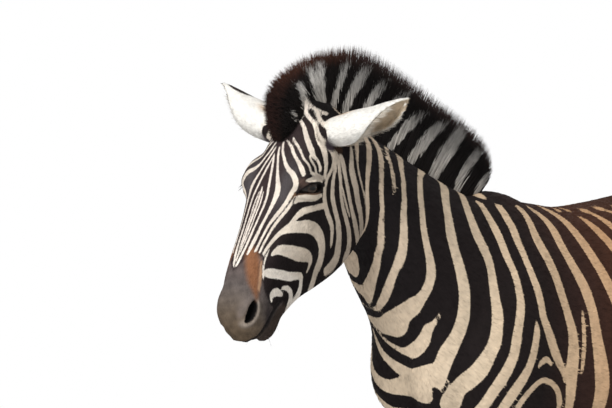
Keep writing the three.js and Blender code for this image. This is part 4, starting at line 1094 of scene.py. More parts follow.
def head_tints(q):
    """The tints of the face, the muzzle's greys, its rust-coloured patch and the lids' skin, with painted
    shade on the cheek and between the lips, a painted sheen beside the eye and a painted highlight on the
    patch's rim.
    """
    u, t = round_head(q), q[:, 0]
    # both face tints darken round towards the cheek: painted shade
    light, dark = ramp(u, FACE_LIGHT_WITH_CHEEK_SHADE), ramp(u, FACE_DARK_WITH_CHEEK_SHADE)
    dark = mixed(dark, POLL_DARK_COLOR, smoothstep(-t, -62, -20))
    light = mixed(light, NOSE_LIGHT_COLOR, smoothstep(t, 310, 350))
    # painted sheen: the dark hair between the forehead and the eye made greyer
    dark = mixed(dark, FACE_PAINTED_SHEEN_COLOR, 0.75 * spot(u, t, (66, 190), (22, 55)))
    grey = ramp(t, MUZZLE_GREY)
    grey = grey * (1 + 0.16 * blotches(q))[:, None]
    grey = mixed(grey, MUZZLE_SIDE_COLOR, spot(u, t, (123, 438), (16, 44)))
    slit, gape, out = nostril_frame(q)
    hole = outside_nostril(slit, gape)
    on_side = smoothstep(out, -30, -12)
    rim = ridge(hole - 6, 5) * smoothstep(-gape, -6, 6) * on_side
    grey = mixed(grey, NOSTRIL_RIM_COLOR, 0.85 * rim)
    grey = mixed(grey, OVER_NOSTRIL_COLOR, 0.6 * ridge(hole - 10, 8) * smoothstep(gape, 0, 10) * on_side)
    grey = mixed(grey, NOSTRIL_COLOR, smoothstep(-hole, -2.6, -0.6))
    below = below_mouth(q)
    grey = mixed(grey, CHIN_COLOR, smoothstep(below, 4, 12))
    # the mouth's line: painted shade between the lips, with the lower lip's dark skin
    grey = mixed(grey, LIP_LINE_SHADE_COLOR, ridge(below - 2.5, 4.5) * smoothstep(t, 386, 396))
    muzzle = np.maximum(muzzle_share(q, u), smoothstep(below, -6, 6) * smoothstep(t, 388, 400))
    dark = mixed(dark, (0, 0, 0), muzzle) + grey * muzzle[:, None]
    rust = -curve_distance(u, t, RUST)
    dark = mixed(dark, RUST_COLOR, 0.92 * smoothstep(rust, -11, 9))
    # a painted highlight: a cream line along the rust patch's outer edge
    dark = mixed(dark, RUST_EDGE_HIGHLIGHT_COLOR, 0.8 * smoothstep(-curve_distance(u, t, RUST_RIM_HIGHLIGHT), -4, 2.5))
    for centre, radii, color in EAR_FOOT_MARKS:
        mark = smoothstep(spot(u, t, centre, radii), 0.35, 0.6)
        dark, light = mixed(dark, color, mark), mixed(light, color, mark)
    outside, _, _ = lid_skin(q)
    along, across = eye_frame(q)
    dark = mixed(dark, BROW_COLOR, spot(along, across, (23, 17), (9, 8)) * (outside < 30))
    under_eye = smoothstep(outside, 1.5, 3) * smoothstep(-outside, -9, -6) * (across < 0)
    dark = mixed(dark, LOWER_LID_COLOR, under_eye * smoothstep(along, -22, -10))
    dark = mixed(dark, LID_EDGE_COLOR, smoothstep(-outside, -2.4, -1.2))
    return dark, light


def tints(p, n):
    """The colours that the dark and the light parts of the coat have at points; the ears' hollows are painted
    tan as shade.
    """
    q = to_head(p)
    dark, light = body_tints(p)
    face_dark, face_light = head_tints(q)
    head = 1 - smoothstep(behind_nape(p), -8, 8)[:, None]
    dark, light = dark + (face_dark - dark) * head, light + (face_light - light) * head
    for f, rear, share in ear_place(p):
        dark = mixed(dark, EAR_DARK_COLOR, share)
        light = mixed(light, EAR_COLOR, share)
        # painted shade on the ear's hollow side, more towards the tip
        light = mixed(light, EAR_HOLLOW_SHADE_COLOR, share * inside_ear(p, n) * smoothstep(f, 0.2, 0.5))
        light = mixed(light, EAR_FOOT_COLOR, 0.7 * share * spot(f, rear, (0.27, 0.45), (0.11, 0.2)))
    return dark, light


# ---------------------------------------------------------------- materials
EDGE_WANDER = 2.4  # mm that noise shifts a stripe's edge by
EDGE_RANGE = (0.5, 1.9)  # the depths, with the wander, between which dark turns to light
MOTTLE = (0.86, 1.08)  # how dark and how light the coat's mottle is


def node(tree, kind, **settings):
    made = tree.nodes.new(kind)
    for name, value in settings.items():
        setattr(made, name, value)
    return made


def link(tree, start, end):
    tree.links.new(start, end)


def principled(name, color=(0.5, 0.5, 0.5), roughness=0.8):
    material = bpy.data.materials.new(name)
    material.use_nodes = True
    shader = material.node_tree.nodes["Principled BSDF"]
    shader.inputs["Base Color"].default_value = (*color, 1)
    shader.inputs["Roughness"].default_value = roughness
    return material, material.node_tree, shader


def noise(tree, scale, detail=3.0, stretch=None):
    """A noise texture in object space, in features per metre, stretched along the axes if asked."""
    made = node(tree, "ShaderNodeTexNoise")
    made.inputs["Scale"].default_value = scale
    made.inputs["Detail"].default_value = detail
    place = node(tree, "ShaderNodeTexCoord")
    if stretch:
        mapping = node(tree, "ShaderNodeMapping")
        mapping.inputs["Scale"].default_value = stretch
        link(tree, place.outputs["Object"], mapping.inputs["Vector"])
        link(tree, mapping.outputs["Vector"], made.inputs["Vector"])
    else:
        link(tree, place.outputs["Object"], made.inputs["Vector"])
    return made.outputs["Fac"]


def attribute(tree, name, output="Color"):
    return node(tree, "ShaderNodeAttribute", attribute_name=name).outputs[output]


def remapped(tree, value, to_range, from_range=(0.0, 1.0)):
    """A value's range turned into another."""
    made = node(tree, "ShaderNodeMapRange")
    for name, setting in zip(("From Min", "From Max", "To Min", "To Max"), (*from_range, *to_range)):
        made.inputs[name].default_value = setting
    link(tree, value, made.inputs["Value"])
    return made.outputs["Result"]


def scaled(tree, color, factor):
    made = node(tree, "ShaderNodeVectorMath", operation="SCALE")
    link(tree, color, made.inputs[0])
    link(tree, factor, made.inputs["Scale"])
    return made.outputs[0]


def add_bump(tree, shader, height, distance):
    bump = node(tree, "ShaderNodeBump")
    bump.inputs["Strength"].default_value = 0.5
    bump.inputs["Distance"].default_value = distance
    link(tree, height, bump.inputs["Height"])
    link(tree, bump.outputs["Normal"], shader.inputs["Normal"])


def coat_material(name, bumpy):
    """The striped coat: the tints of the dark and light parts, parted by the depth in the light."""
    material, tree, shader = principled(name, roughness=0.78)
    wander = node(tree, "ShaderNodeMath", operation="MULTIPLY_ADD")
    wander.inputs[1].default_value = EDGE_WANDER
    link(tree, noise(tree, 420, 2), wander.inputs[0])
    link(tree, attribute(tree, "light_depth", "Fac"), wander.inputs[2])
    parts = node(tree, "ShaderNodeMix", data_type="RGBA")
    link(tree, remapped(tree, wander.outputs[0], (0.0, 1.0), EDGE_RANGE), parts.inputs[0])
    for slot, tint in ((6, "dark_tint"), (7, "light_tint")):
        link(tree, attribute(tree, tint), parts.inputs[slot])
    together = node(tree, "ShaderNodeMath", operation="MULTIPLY")
    link(tree, attribute(tree, "shade", "Fac"), together.inputs[0])
    link(tree, remapped(tree, noise(tree, 60, 4), MOTTLE, (0.3, 0.7)), together.inputs[1])
    link(tree, scaled(tree, parts.outputs[2], together.outputs[0]), shader.inputs["Base Color"])
    if bumpy:
        add_bump(tree, shader, noise(tree, 700, 3, (0.3, 1, 0.6)), 0.0012)
    shader.inputs["Specular IOR Level"].default_value = 0.1
    return material


# ---------------------------------------------------------------- meshes with markings
def in_scene(name, data):
    made = bpy.data.objects.new(name, data)
    bpy.context.scene.collection.objects.link(made)
    return made


def add_object(name, mesh, material):
    mesh.materials.append(material)
    made = in_scene(name, mesh)
    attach(made, "root")
    return made


def in_metres(p):
    return (np.asarray(p) + BODY_SHIFT) * MM


def mesh_of(name, points, faces):
    """A smooth mesh from points in millimetres and faces that all have the same number of corners."""
    mesh = bpy.data.meshes.new(name)
    mesh.vertices.add(len(points))
    mesh.vertices.foreach_set("co", in_metres(points).astype(np.float32).ravel())
    mesh.loops.add(faces.size)
    mesh.loops.foreach_set("vertex_index", faces.astype(np.int32).ravel())
    mesh.polygons.add(len(faces))
    mesh.polygons.foreach_set("loop_start", np.arange(0, faces.size, faces.shape[1], dtype=np.int32))
    mesh.polygons.foreach_set("use_smooth", np.ones(len(faces), bool))
    mesh.update(calc_edges=True)
    return mesh


def bulged(v, power):
    """Cosines or sines turned into those of a superellipse; a power of 2 leaves them as they are."""
    return np.sign(v) * np.abs(v) ** (2 / power)


def tube_faces(rings, around):
    """The triangles of a closed tube of rings. Its two end points follow those of the rings."""
    k = np.arange(around)
    after = (k + 1) % around
    start = np.arange(rings - 1)[:, None] * around
    near, near_after, far, far_after = start + k, start + after, start + around + k, start + around + after
    halves = (near, far, far_after), (near, far_after, near_after)
    walls = [np.stack(corners, 2).reshape(-1, 3) for corners in halves]
    end, last = np.full(around, rings * around), (rings - 1) * around
    caps = [np.stack([end, k, after], 1), np.stack([end + 1, last + after, last + k], 1)]
    return np.vstack(walls + caps)


def set_colors(mesh, name, colors):
    rgba = np.ones((len(colors), 4), np.float32)
    rgba[:, :3] = colors
    mesh.attributes.new(name, "FLOAT_COLOR", "POINT").data.foreach_set("color", rgba.ravel())


def set_markings(mesh, depth, dark, light, shade):
    for name, values in (("light_depth", depth), ("shade", shade)):
        mesh.attributes.new(name, "FLOAT", "POINT").data.foreach_set("value", np.asarray(values, np.float32))
    for name, colors in (("dark_tint", dark), ("light_tint", light)):
        set_colors(mesh, name, colors)


def vertices_of(mesh):
    """A mesh's points and normals, in millimetres."""
    count = len(mesh.vertices)
    p, n = np.empty(count * 3, np.float32), np.empty(count * 3, np.float32)
    mesh.vertices.foreach_get("co", p)
    mesh.vertices.foreach_get("normal", n)
    return p.reshape(-1, 3).astype(float), n.reshape(-1, 3).astype(float)


def make_body(material):
    """The skin, with its markings."""
    mesh = make_skin()
    corners, normals = skin_triangles(mesh)
    p, n = vertices_of(mesh)
    depth = light_depth(p, n)
    dark, light = tints(p, n)
    set_markings(mesh, depth, dark, light, np.ones(len(p)))
    mesh.vertices.foreach_set("co", in_metres(p).astype(np.float32).ravel())
    mesh.polygons.foreach_set("use_smooth", np.ones(len(mesh.polygons), bool))
    mesh.update()
    skin = add_object("skin", mesh, material)
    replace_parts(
        skin, "head", "neck", "trunk", "tail", *(f"leg_{leg}" for leg in LEGS), "ear_left", "ear_right"
    )
    return corners, normals


# ---------------------------------------------------------------- eyes
EYE_GAZE = {"along": 0.16, "down": 0.1}  # how far forwards and down the eye looks
CORNEA_ANGLE = 0.78  # how far the cornea reaches from the gaze, in radians
CORNEA_BULGE = 1.6
PUPIL_RADII = (7.5, 3.8)
PUPIL_COLOR = (0.002, 0.002, 0.002)


def eye_material():
    material, tree, shader = principled("eye", roughness=0.22)
    streaks = remapped(tree, noise(tree, 900, 2), (0.7, 1.3))
    link(tree, scaled(tree, attribute(tree, "tone"), streaks), shader.inputs["Base Color"])
    shader.inputs["Specular IOR Level"].default_value = 0.0
    shader.inputs["Coat Weight"].default_value = 0.6
    shader.inputs["Coat Roughness"].default_value = 0.03
    return material


def make_eye(side, material):
    """An eyeball with its cornea, iris and lying oval pupil."""
    name = SIDE_NAMES[side]
    gaze = np.array([-EYE_GAZE["along"], side, -EYE_GAZE["down"]])
    gaze /= np.linalg.norm(gaze)
    flat = np.cross(gaze, [0, 0, 1])
    flat /= np.linalg.norm(flat)
    upright = np.cross(flat, gaze)
    rings, around = 48, 64
    angle = math.pi * (np.arange(rings) + 0.5) / rings
    turn = 2 * math.pi * np.arange(around) / around
    r = EYE_RADIUS + CORNEA_BULGE * smoothstep(-angle, -CORNEA_ANGLE, -0.3)
    x = (r * np.sin(angle))[:, None] * np.cos(turn)
    y = (r * np.sin(angle))[:, None] * np.sin(turn)
    z = (r * np.cos(angle))[:, None] * np.ones(around)
    ends = np.array([[0, 0, EYE_RADIUS + CORNEA_BULGE], [0, 0, -EYE_RADIUS]])
    local = np.vstack([np.stack([x, y, z], 2).reshape(-1, 3), ends])
    centre = from_head([EYE[0], -side * EYE[1], EYE[2]])
    points = centre + local @ np.stack([flat, upright, gaze])
    mesh = mesh_of(f"eyeball_{name}", points, tube_faces(rings, around))
    off = np.hypot(local[:, 0], local[:, 1])
    off[local[:, 2] < 0] = 60
    tone = ramp(off, [(0, (0.03, 0.016, 0.01)), (10, (0.032, 0.018, 0.011)), (12.5, (0.008, 0.005, 0.004)),
                      (15, (0.03, 0.02, 0.016)), (19, (0.03, 0.02, 0.016)), (60, (0.03, 0.02, 0.016))])
    pupil = np.hypot(local[:, 0] / PUPIL_RADII[0], local[:, 1] / PUPIL_RADII[1])
    tone = mixed(tone, PUPIL_COLOR, smoothstep(-pupil, -1.15, -0.9) * (local[:, 2] > 0))
    set_colors(mesh, "tone", tone)
    eyeball = add_object(f"eyeball_{name}", mesh, material)
    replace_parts(eyeball, f"eye_{name}")


# ---------------------------------------------------------------- locks of hair
LOCK_SIDES = 3


def lock_mesh(paths, widths, flats):
    """Closed tapering locks along paths (locks, points, 3), with half widths (locks, points) and the side
    on which each is flat (locks, 3). The last point of each is its tip."""
    count, steps = paths.shape[:2]
    along = np.gradient(paths, axis=1)
    along /= np.linalg.norm(along, axis=2, keepdims=True)
    across = np.cross(along, flats[:, None, :])
    across /= np.maximum(np.linalg.norm(across, axis=2, keepdims=True), 1e-9)
    out = np.cross(across, along)
    turn = 2 * math.pi * np.arange(LOCK_SIDES) / LOCK_SIDES + math.pi / 2
    ring = across[:, :-1, None] * np.cos(turn)[:, None] + 0.55 * out[:, :-1, None] * np.sin(turn)[:, None]
    rings = paths[:, :-1, None] + ring * widths[:, :-1, None, None]
    points = np.concatenate([rings.reshape(count, -1, 3), paths[:, -1:]], axis=1)
    each = points.shape[1]
    faces = []
    for step in range(steps - 2):
        a = step * LOCK_SIDES
        for side in range(LOCK_SIDES):
            after = (side + 1) % LOCK_SIDES
            near, far = a + side, a + LOCK_SIDES + after
            faces += [[near, a + after, far], [near, far, a + LOCK_SIDES + side]]
    last = (steps - 2) * LOCK_SIDES
    faces += [[last + side, last + (side + 1) % LOCK_SIDES, each - 1] for side in range(LOCK_SIDES)]
    faces.append([2, 1, 0])
    all_faces = np.array(faces)[None] + each * np.arange(count)[:, None, None]
    return points.reshape(-1, 3), all_faces.reshape(-1, 3), each


MANE_CHORDS = [
    [-548, 1424, -590, 1432, 12],
    [-540, 1446, -604, 1456, 26],
    [-528, 1470, -612, 1492, 33],
    [-516, 1492, -609, 1528, 35],
    [-494, 1504, -580, 1566, 33],
    [-462, 1498, -510, 1602, 30],
    [-420, 1480, -425, 1620, 28],
    [-365, 1452, -338, 1618, 28],
    [-290, 1412, -232, 1576, 28],
    [-200, 1368, -118, 1512, 28],
    [-110, 1326, -18, 1456, 26],
    [-44, 1296, 44, 1404, 22],
    [-4, 1288, 56, 1356, 14],
]
MANE_POWER = 2.3
ROOT_SPREAD = 0.72  # the share of the mane's width that the locks' roots take up
CORE_MIDDLE, CORE_REACH, CORE_WIDTH = 0.43, 0.3, 0.55
MANE_LOCKS = 9000
MANE_PIECES = 2


def chords_at(chords, s):
    """Rows of a chord table at places s from 0 to 1 along it."""
    rows = smooth_rows(chords, 8)
    middles = (rows[:, :2] + rows[:, 2:4]) / 2
    gone = np.concatenate([[0], np.cumsum(np.linalg.norm(np.diff(middles, axis=0), axis=1))])
    return np.stack([np.interp(s * gone[-1], gone, rows[:, c]) for c in range(5)], 1)


def across_chords(chords, f):
    """The x and z at shares f of the way from the chords' first points to their second."""
    x = chords[:, [0]] + f * (chords[:, [2]] - chords[:, [0]])
    return x, chords[:, [1]] + f * (chords[:, [3]] - chords[:, [1]])


def mane_depth(p, tip_share):
    """How deep points are in the mane's light bands; the tips of the hair are dark."""
    depth = stripe_depth(p[:, 0], p[:, 2], MANE_STRIPES)
    return np.where(tip_share > 0, np.minimum(depth, 9 - 20 * tip_share), depth)


def mane_tints(f, s):
    dark = np.tile((0.009, 0.007, 0.0065), (len(s), 1))
    rim = smoothstep(f, 0.76, 1.0)
    dark = mixed(dark, (0.034, 0.0125, 0.009), rim * smoothstep(-s, -0.42, -0.28))
    dark = mixed(dark, (0.085, 0.03, 0.017), rim * smoothstep(s, 0.08, 0.2) * smoothstep(-s, -0.46, -0.34))
    dark = mixed(dark, (0.08, 0.043, 0.037), rim * smoothstep(s, 0.3, 0.44))
    light = ramp(f, [(0, (0.52, 0.48, 0.43)), (0.7, (0.52, 0.5, 0.475)), (1, (0.36, 0.33, 0.31))])
    return dark, light


def mane_core():
    """The mane's dense inside, which the locks stand out of."""
    s = np.linspace(0, 1, 70)
    chords = chords_at(MANE_CHORDS, s)
    turn = 2 * math.pi * np.arange(24) / 24
    f = CORE_MIDDLE + CORE_REACH * bulged(np.cos(turn), MANE_POWER)
    out = CORE_WIDTH * bulged(np.sin(turn), MANE_POWER)
    x, z = across_chords(chords, f)
    y = chords[:, [4]] * out
    points = np.stack([x, y, z], 2)
    all_points = np.vstack([points.reshape(-1, 3), points[0].mean(0), points[-1].mean(0)])
    f_all = np.concatenate([np.tile(f, len(s)), [CORE_MIDDLE, CORE_MIDDLE]])
    s_all = np.concatenate([np.repeat(s, len(turn)), [0, 1]])
    return all_points, tube_faces(len(s), len(turn)), f_all, s_all


def mane_locks():
    """Upright locks from the crest, fanning out to the mane's outline."""
    s = (np.arange(MANE_LOCKS) + rng.random(MANE_LOCKS)) / MANE_LOCKS
    fan = rng.uniform(-1, 1, MANE_LOCKS)
    chords = chords_at(MANE_CHORDS, s)
    tips = chords_at(MANE_CHORDS, np.clip(s + rng.normal(0, 0.012, MANE_LOCKS), 0, 1))
    angle = fan * math.radians(86)
    end_f = 0.5 + 0.5 * bulged(np.cos(angle), MANE_POWER)
    end_out = bulged(np.sin(angle), MANE_POWER)
    length = rng.uniform(0.86, 1.03, MANE_LOCKS)
    start_f = 0.02 - 0.16 * fan ** 2
    places = np.linspace(0, 1, 5)
    f = start_f[:, None] + (end_f * length - start_f)[:, None] * places
    out = fan[:, None] * ROOT_SPREAD + (end_out - fan * ROOT_SPREAD)[:, None] * places ** 1.5
    lean = places ** 1.6
    root_x, root_z = across_chords(chords, f)
    tip_x, tip_z = across_chords(tips, f)
    x = root_x + (tip_x - root_x) * lean
    z = root_z + (tip_z - root_z) * lean
    y = chords[:, [4]] * out
    paths = np.stack([x, y, z], 2)
    wide = rng.uniform(0.9, 1.7, MANE_LOCKS)[:, None] * np.array([1, 1.05, 0.9, 0.6, 0])
    flats = [0.3 * rng.normal(size=MANE_LOCKS), np.sign(fan + 1e-9), 0.3 * rng.normal(size=MANE_LOCKS)]
    return paths, wide, np.stack(flats, 1), f, s


def make_mane(material):
    points, faces, f, s = mane_core()
    core = mesh_of("mane_core", points, faces)
    dark, light = mane_tints(f, s)
    # the core is painted at half brightness: painted shade inside the mane, behind the locks
    set_markings(core, mane_depth(points, np.zeros(len(points))), dark, light, np.full(len(points), 0.5))
    add_object("mane_core", core, material)
    for piece in range(MANE_PIECES):
        paths, wide, flats, f, s = mane_locks()
        points, faces, each = lock_mesh(paths, wide, flats)
        mesh = mesh_of(f"mane_locks_{piece + 1}", points, faces)
        at = np.minimum(np.arange(each) // LOCK_SIDES, paths.shape[1] - 1)
        f_points = f[:, at].ravel()
        nudged = points + np.repeat(rng.normal(0, 2.6, (MANE_LOCKS, 3)), each, 0)
        tip = smoothstep(f_points, 0.78, 1.0)
        dark, light = mane_tints(f_points, np.repeat(s, each))
        shade = np.repeat(rng.uniform(0.65, 1.2, MANE_LOCKS), each)
        set_markings(mesh, mane_depth(nudged, tip), dark, light, shade)
        set_patches(mesh, on_chart("trunk", s, 0.5 + 0.4 * flats[:, 1]), each)
        locks = add_object(f"mane_locks_{piece + 1}", mesh, material)
    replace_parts(locks, "mane")


# ---------------------------------------------------------------- the tail's tuft
TUFT_CHORDS = [
    [1102, 769.5, 1132, 771.5, 15],
    [1092, 720, 1140, 722, 23],
    [1086, 640, 1144, 640, 28],
    [1088, 560, 1140, 558, 25],
    [1096, 490, 1132, 488, 17],
    [1108, 446, 1120, 446, 6],
]
TUFT_LOCKS = 1500
TUFT_COLOR = (0.018, 0.014, 0.014)


def make_tail_tuft(material):
    start = rng.uniform(0, 0.55, TUFT_LOCKS)
    end = np.clip(start + rng.uniform(0.4, 0.6, TUFT_LOCKS), 0, 1)
    turn = rng.uniform(0, 2 * math.pi, TUFT_LOCKS)
    reach = rng.uniform(0.55, 1, TUFT_LOCKS)
    paths = []
    for place in np.linspace(0, 1, 6):
        s = start + (end - start) * place
        x1, z1, x2, z2, w = chords_at(TUFT_CHORDS, s).T
        r = reach * min(1, 0.45 + 0.9 * place)
        middle_x, middle_z = (x1 + x2) / 2, (z1 + z2) / 2
        x = middle_x + (x2 - x1) / 2 * np.cos(turn) * r
        paths.append(np.stack([x, w * np.sin(turn) * r, middle_z], 1))
    paths = np.stack(paths, 1)
    wide = rng.uniform(1.6, 2.8, TUFT_LOCKS)[:, None] * np.array([1, 1.1, 1, 0.8, 0.5, 0])
    flats = np.stack([np.cos(turn), np.sin(turn), np.zeros(TUFT_LOCKS)], 1)
    points, faces, each = lock_mesh(paths, wide, flats)
    mesh = mesh_of("tail_locks", points, faces)
    shade = np.repeat(rng.uniform(0.7, 1.1, TUFT_LOCKS), each)
    black = np.tile(TUFT_COLOR, (len(points), 1))
    set_markings(mesh, np.full(len(points), -8.0), black, black, shade)
    set_patches(mesh, on_chart("trunk", start, turn / (2 * math.pi)), each)
    locks = add_object("tail_locks", mesh, material)
    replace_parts(locks, "tail_tuft")


# ---------------------------------------------------------------- the short coat
# The coat's short hair is thin blades that lie on the skin, each a thin solid of four triangles.
BLADES_PER_PIECE = 48000
HEAD_PIECES, BODY_PIECES = ((2, 2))
POLL_HAIR = 11  # mm that the hair on the poll is longer
PATCH = 0.003  # how wide each blade's or lock's place on the bake's map is
CHARTS = {  # where each part of the body lies on the bake's map: low u, low v, wide, high
    "trunk": (0.0, 0.0, 1.0, 0.55),
    "leg": (0.0, 0.56, 1.0, 0.43),
    "head": (0.0, 0.0, 1.0, 0.7),
    "ear": (0.0, 0.71, 1.0, 0.28),
}


def unit(v):
    return v / np.maximum(np.linalg.norm(v, axis=1, keepdims=True), 1e-9)


def on_chart(name, u, v):
    """Places on the bake's map for shares u and v of a chart."""
    left, bottom, wide, high = CHARTS[name]
    margin = 2 * PATCH
    u, v = np.clip(u, 0, 1), np.clip(v, 0, 1)
    return np.stack([left + margin + u * (wide - 2 * margin), bottom + margin + v * (high - 2 * margin)], 1)


def unwrapped(p):
    """The skin's unwrap: tubes round the head, ears, legs and the trunk with the neck, laid flat."""
    q = to_head(p)
    on_head = behind_nape(p) < 0
    turn = np.arctan2(q[:, 1], q[:, 2] + 100) / (2 * math.pi) + 0.5
    found = on_chart("head", turn, (q[:, 0] + 120) / 630)
    for index, (along, _, share) in enumerate(ear_place(p)):
        base, _, down, front = ear_axes(list(EAR_TIPS)[index])
        turn = np.arctan2((p - base) @ front, (p - base) @ down) / (2 * math.pi) + 0.5
        ear = on_chart("ear", 0.5 * (index + 0.98 * turn), along)
        found = np.where((share > 0.5)[:, None], ear, found)
    turn = np.arctan2(p[:, 1], p[:, 2] - 1010) / (2 * math.pi) + 0.5
    trunk_place = on_chart("trunk", (p[:, 0] + 560) / 1720, turn)
    fore = p[:, 0] < 500
    middle = np.where(fore, 0, 1020)
    turn = np.arctan2(np.abs(p[:, 1]) - 96, p[:, 0] - middle) / (2 * math.pi) + 0.5
    leg = 2 * (p[:, 1] > 0) + 1 * ~fore
    legs = on_chart("leg", 0.25 * (leg + 0.98 * turn), p[:, 2] / 760)
    body = np.where((p[:, 2] < 700)[:, None], legs, trunk_place)
    return np.where(on_head[:, None], found, body)


def lie_of_coat(p):
    """The way the hair lies: down the nose and legs, back over the cheeks and neck, along the trunk."""
    q = to_head(p)
    cheek_share = smoothstep(-q[:, 2], 40, 120)[:, None] * smoothstep(-q[:, 0], -380, -300)[:, None]
    face = HEAD_AXES[0] + cheek_share * np.array([0.75, 0.0, -0.1])
    upward = smoothstep(-q[:, 0], -70, -30)[:, None]
    face = face * (1 - 1.7 * upward)
    neck_way = np.array([0.85, 0.0, -0.5])
    trunk_way = np.array([0.97, 0.0, -0.22])
    body = neck_way + (trunk_way - neck_way) * smoothstep(p[:, 0], -150, 150)[:, None]
    low = smoothstep(-p[:, 2], -860, -640)[:, None]
    body = body + (np.array([0.12, 0.0, -1.0]) - body) * low
    rump = smoothstep(p[:, 0], 900, 1060)[:, None]
    body = body + (np.array([0.35, 0.0, -0.95]) - body) * rump * (1 - low)
    way = face + (body - face) * smoothstep(behind_nape(p), -30, 30)[:, None]
    for (_, _, share), side in zip(ear_place(p), EAR_TIPS):
        way = way + (ear_axes(side)[1] - way) * share[:, None]
    return way


def skin_triangles(mesh):
    """The skin's corners, with their normals, by triangle, in millimetres."""
    mesh.calc_loop_triangles()
    index = np.empty(len(mesh.loop_triangles) * 3, np.int32)
    mesh.loop_triangles.foreach_get("vertices", index)
    p, n = vertices_of(mesh)
    index = index.reshape(-1, 3)
    return p[index], n[index]


def scattered(corners, normals, weight, count):
    """Random places on the skin, closer together where the weight is greater."""
    cross = np.cross(corners[:, 1] - corners[:, 0], corners[:, 2] - corners[:, 0])
    chance = np.linalg.norm(cross, axis=1) * weight
    total = np.cumsum(chance)
    pick = np.searchsorted(total, rng.random(count) * total[-1])
    a, b = rng.random((2, count))
    over = a + b > 1
    a, b = np.where(over, 1 - a, a), np.where(over, 1 - b, b)
    shares = np.stack([1 - a - b, a, b], 1)[:, :, None]
    return (corners[pick] * shares).sum(1), unit((normals[pick] * shares).sum(1))


def blade_mesh(name, p, n, way, length, width, lift):
    """Blades that start at points p of the skin and lie along the way, lifted from the skin by a share of
    their length."""
    count = len(p)
    across = unit(np.cross(way, n))
    root = p - 0.3 * n
    tip = p + way * length[:, None] + n * (lift * length)[:, None]
    points = np.stack([
        root - across * width[:, None] / 2,
        root + across * width[:, None] / 2,
        root + n * (0.45 + 0.25 * width)[:, None] + way * (0.12 * length)[:, None],
        tip,
    ], 1)
    faces = np.array([[0, 2, 3], [2, 1, 3], [1, 0, 3], [0, 1, 2]])[None] + 4 * np.arange(count)[:, None, None]
    mesh = mesh_of(name, points.reshape(-1, 3), faces.reshape(-1, 3))
    normals = unit(n + 0.18 * rng.normal(size=n.shape) - 0.12 * way)
    mesh.normals_split_custom_set_from_vertices(np.repeat(normals, 4, 0))
    set_patches(mesh, unwrapped(p), 4)
    return mesh


def set_patches(mesh, places, each):
    """The bake's map: every blade or lock of so many points is a small patch at its root's place."""
    corner = np.array([[math.cos(a), math.sin(a)] for a in 2 * math.pi * np.arange(each) / each]) * PATCH / 2
    uv = (places[:, None] + corner[None]).reshape(-1, 2)
    index = np.empty(len(mesh.loops), np.int32)
    mesh.loops.foreach_get("vertex_index", index)
    mesh.uv_layers.new(name="OFBake").data.foreach_set("uv", uv[index].astype(np.float32).ravel())


def bare_parts(q):
    """How much points of the head are furred: not at all at the lids' edges and in the nostrils."""
    left = folded(q)
    outside, _, _ = lid_skin(left)
    slit, gape, _ = nostril_frame(left)
    hole = np.where(q[:, 0] > 400, outside_nostril(slit, gape), 99.0)
    return smoothstep(outside, 3, 9) * smoothstep(hole, 2, 9)


def make_coat(corners, normals, material):
    """All the short hair, in pieces. A blade's tints are the skin's at its root, and its stripes are worked
    out at its root and at its tip."""
    middle = corners.mean(1)
    on_head = behind_nape(middle) < 0
    head_share = on_head * bare_parts(to_head(middle))
    body_share = ~on_head * smoothstep(middle[:, 2], CORONET - 2, CORONET + 10)
    for part, share, pieces in (("head", head_share, HEAD_PIECES), ("body", body_share, BODY_PIECES)):
        for piece in range(pieces):
            p, n = scattered(corners, normals, share, BLADES_PER_PIECE)
            way = lie_of_coat(p) + rng.normal(0, 0.13, p.shape)
            way = unit(way - (way * n).sum(1)[:, None] * n)
            length, width = blade_size(p)
            length = length * rng.uniform(0.75, 1.25, len(p))
            width = width * rng.uniform(0.8, 1.2, len(p))
            name = f"coat_{part}_{piece + 1}"
            mesh = blade_mesh(name, p, n, way, length, width, rng.uniform(0.04, 0.13, len(p)))
            wander = rng.normal(0, 0.6, len(p))
            depth = np.repeat((light_depth(p, n) + wander)[:, None], 4, 1)
            depth[:, 3] = light_depth(p + way * length[:, None], n) + wander
            dark, light = tints(p, n)
            shade = rng.uniform(0.86, 1.1, len(p))
            set_markings(mesh, depth.ravel(), *(np.repeat(v, 4, 0) for v in (dark, light, shade)))
            add_object(name, mesh, material)


def blade_size(p):
    """How long and wide the hair is: least on the face and feet."""
    q = to_head(p)
    share = smoothstep(behind_nape(p), -20, 40)
    on_face, on_body = (40, 120, 400, 460), (80, 300, 700, 900)
    length = blend(np.interp(q[:, 0], on_face, (8, 5.6, 5, 3.2)),
                   np.interp(p[:, 2], on_body, (6.5, 7, 9, 10.5)), share)
    width = blend(np.interp(q[:, 0], on_face, (1.6, 1.2, 1.1, 0.8)),
                  np.interp(p[:, 2], on_body, (1.5, 1.7, 2.1, 2.4)), share)
    poll = spot(q[:, 0], q[:, 1], (-6, 0), (30, 52))
    return length + POLL_HAIR * poll, width


# ---------------------------------------------------------------- ear hair, lashes and whiskers
EAR_HAIRS = 1700
LASHES = 46
LASH_COLOR = (0.012, 0.01, 0.01)
WHISKERS = 110
WHISKER_COLOR = (0.05, 0.036, 0.03)
HAIR_SHAPE = np.array([1, 1, 0.8, 0.5, 0])  # how thick a hair is along its length


def hair_piece(name, paths, thick, flats, light, dark, is_light, material, places):
    """Joined hairs of one colour, light or dark."""
    points, faces, each = lock_mesh(paths, thick[:, None] * HAIR_SHAPE, flats)
    mesh = mesh_of(name, points, faces)
    count = len(points)
    shade = np.repeat(rng.uniform(0.8, 1.1, len(paths)), each)
    dark, light = np.repeat(dark, each, 0), np.repeat(light, each, 0)
    set_markings(mesh, np.full(count, 8.0 if is_light else -8.0), dark, light, shade)
    set_patches(mesh, places, each)
    return add_object(name, mesh, material)


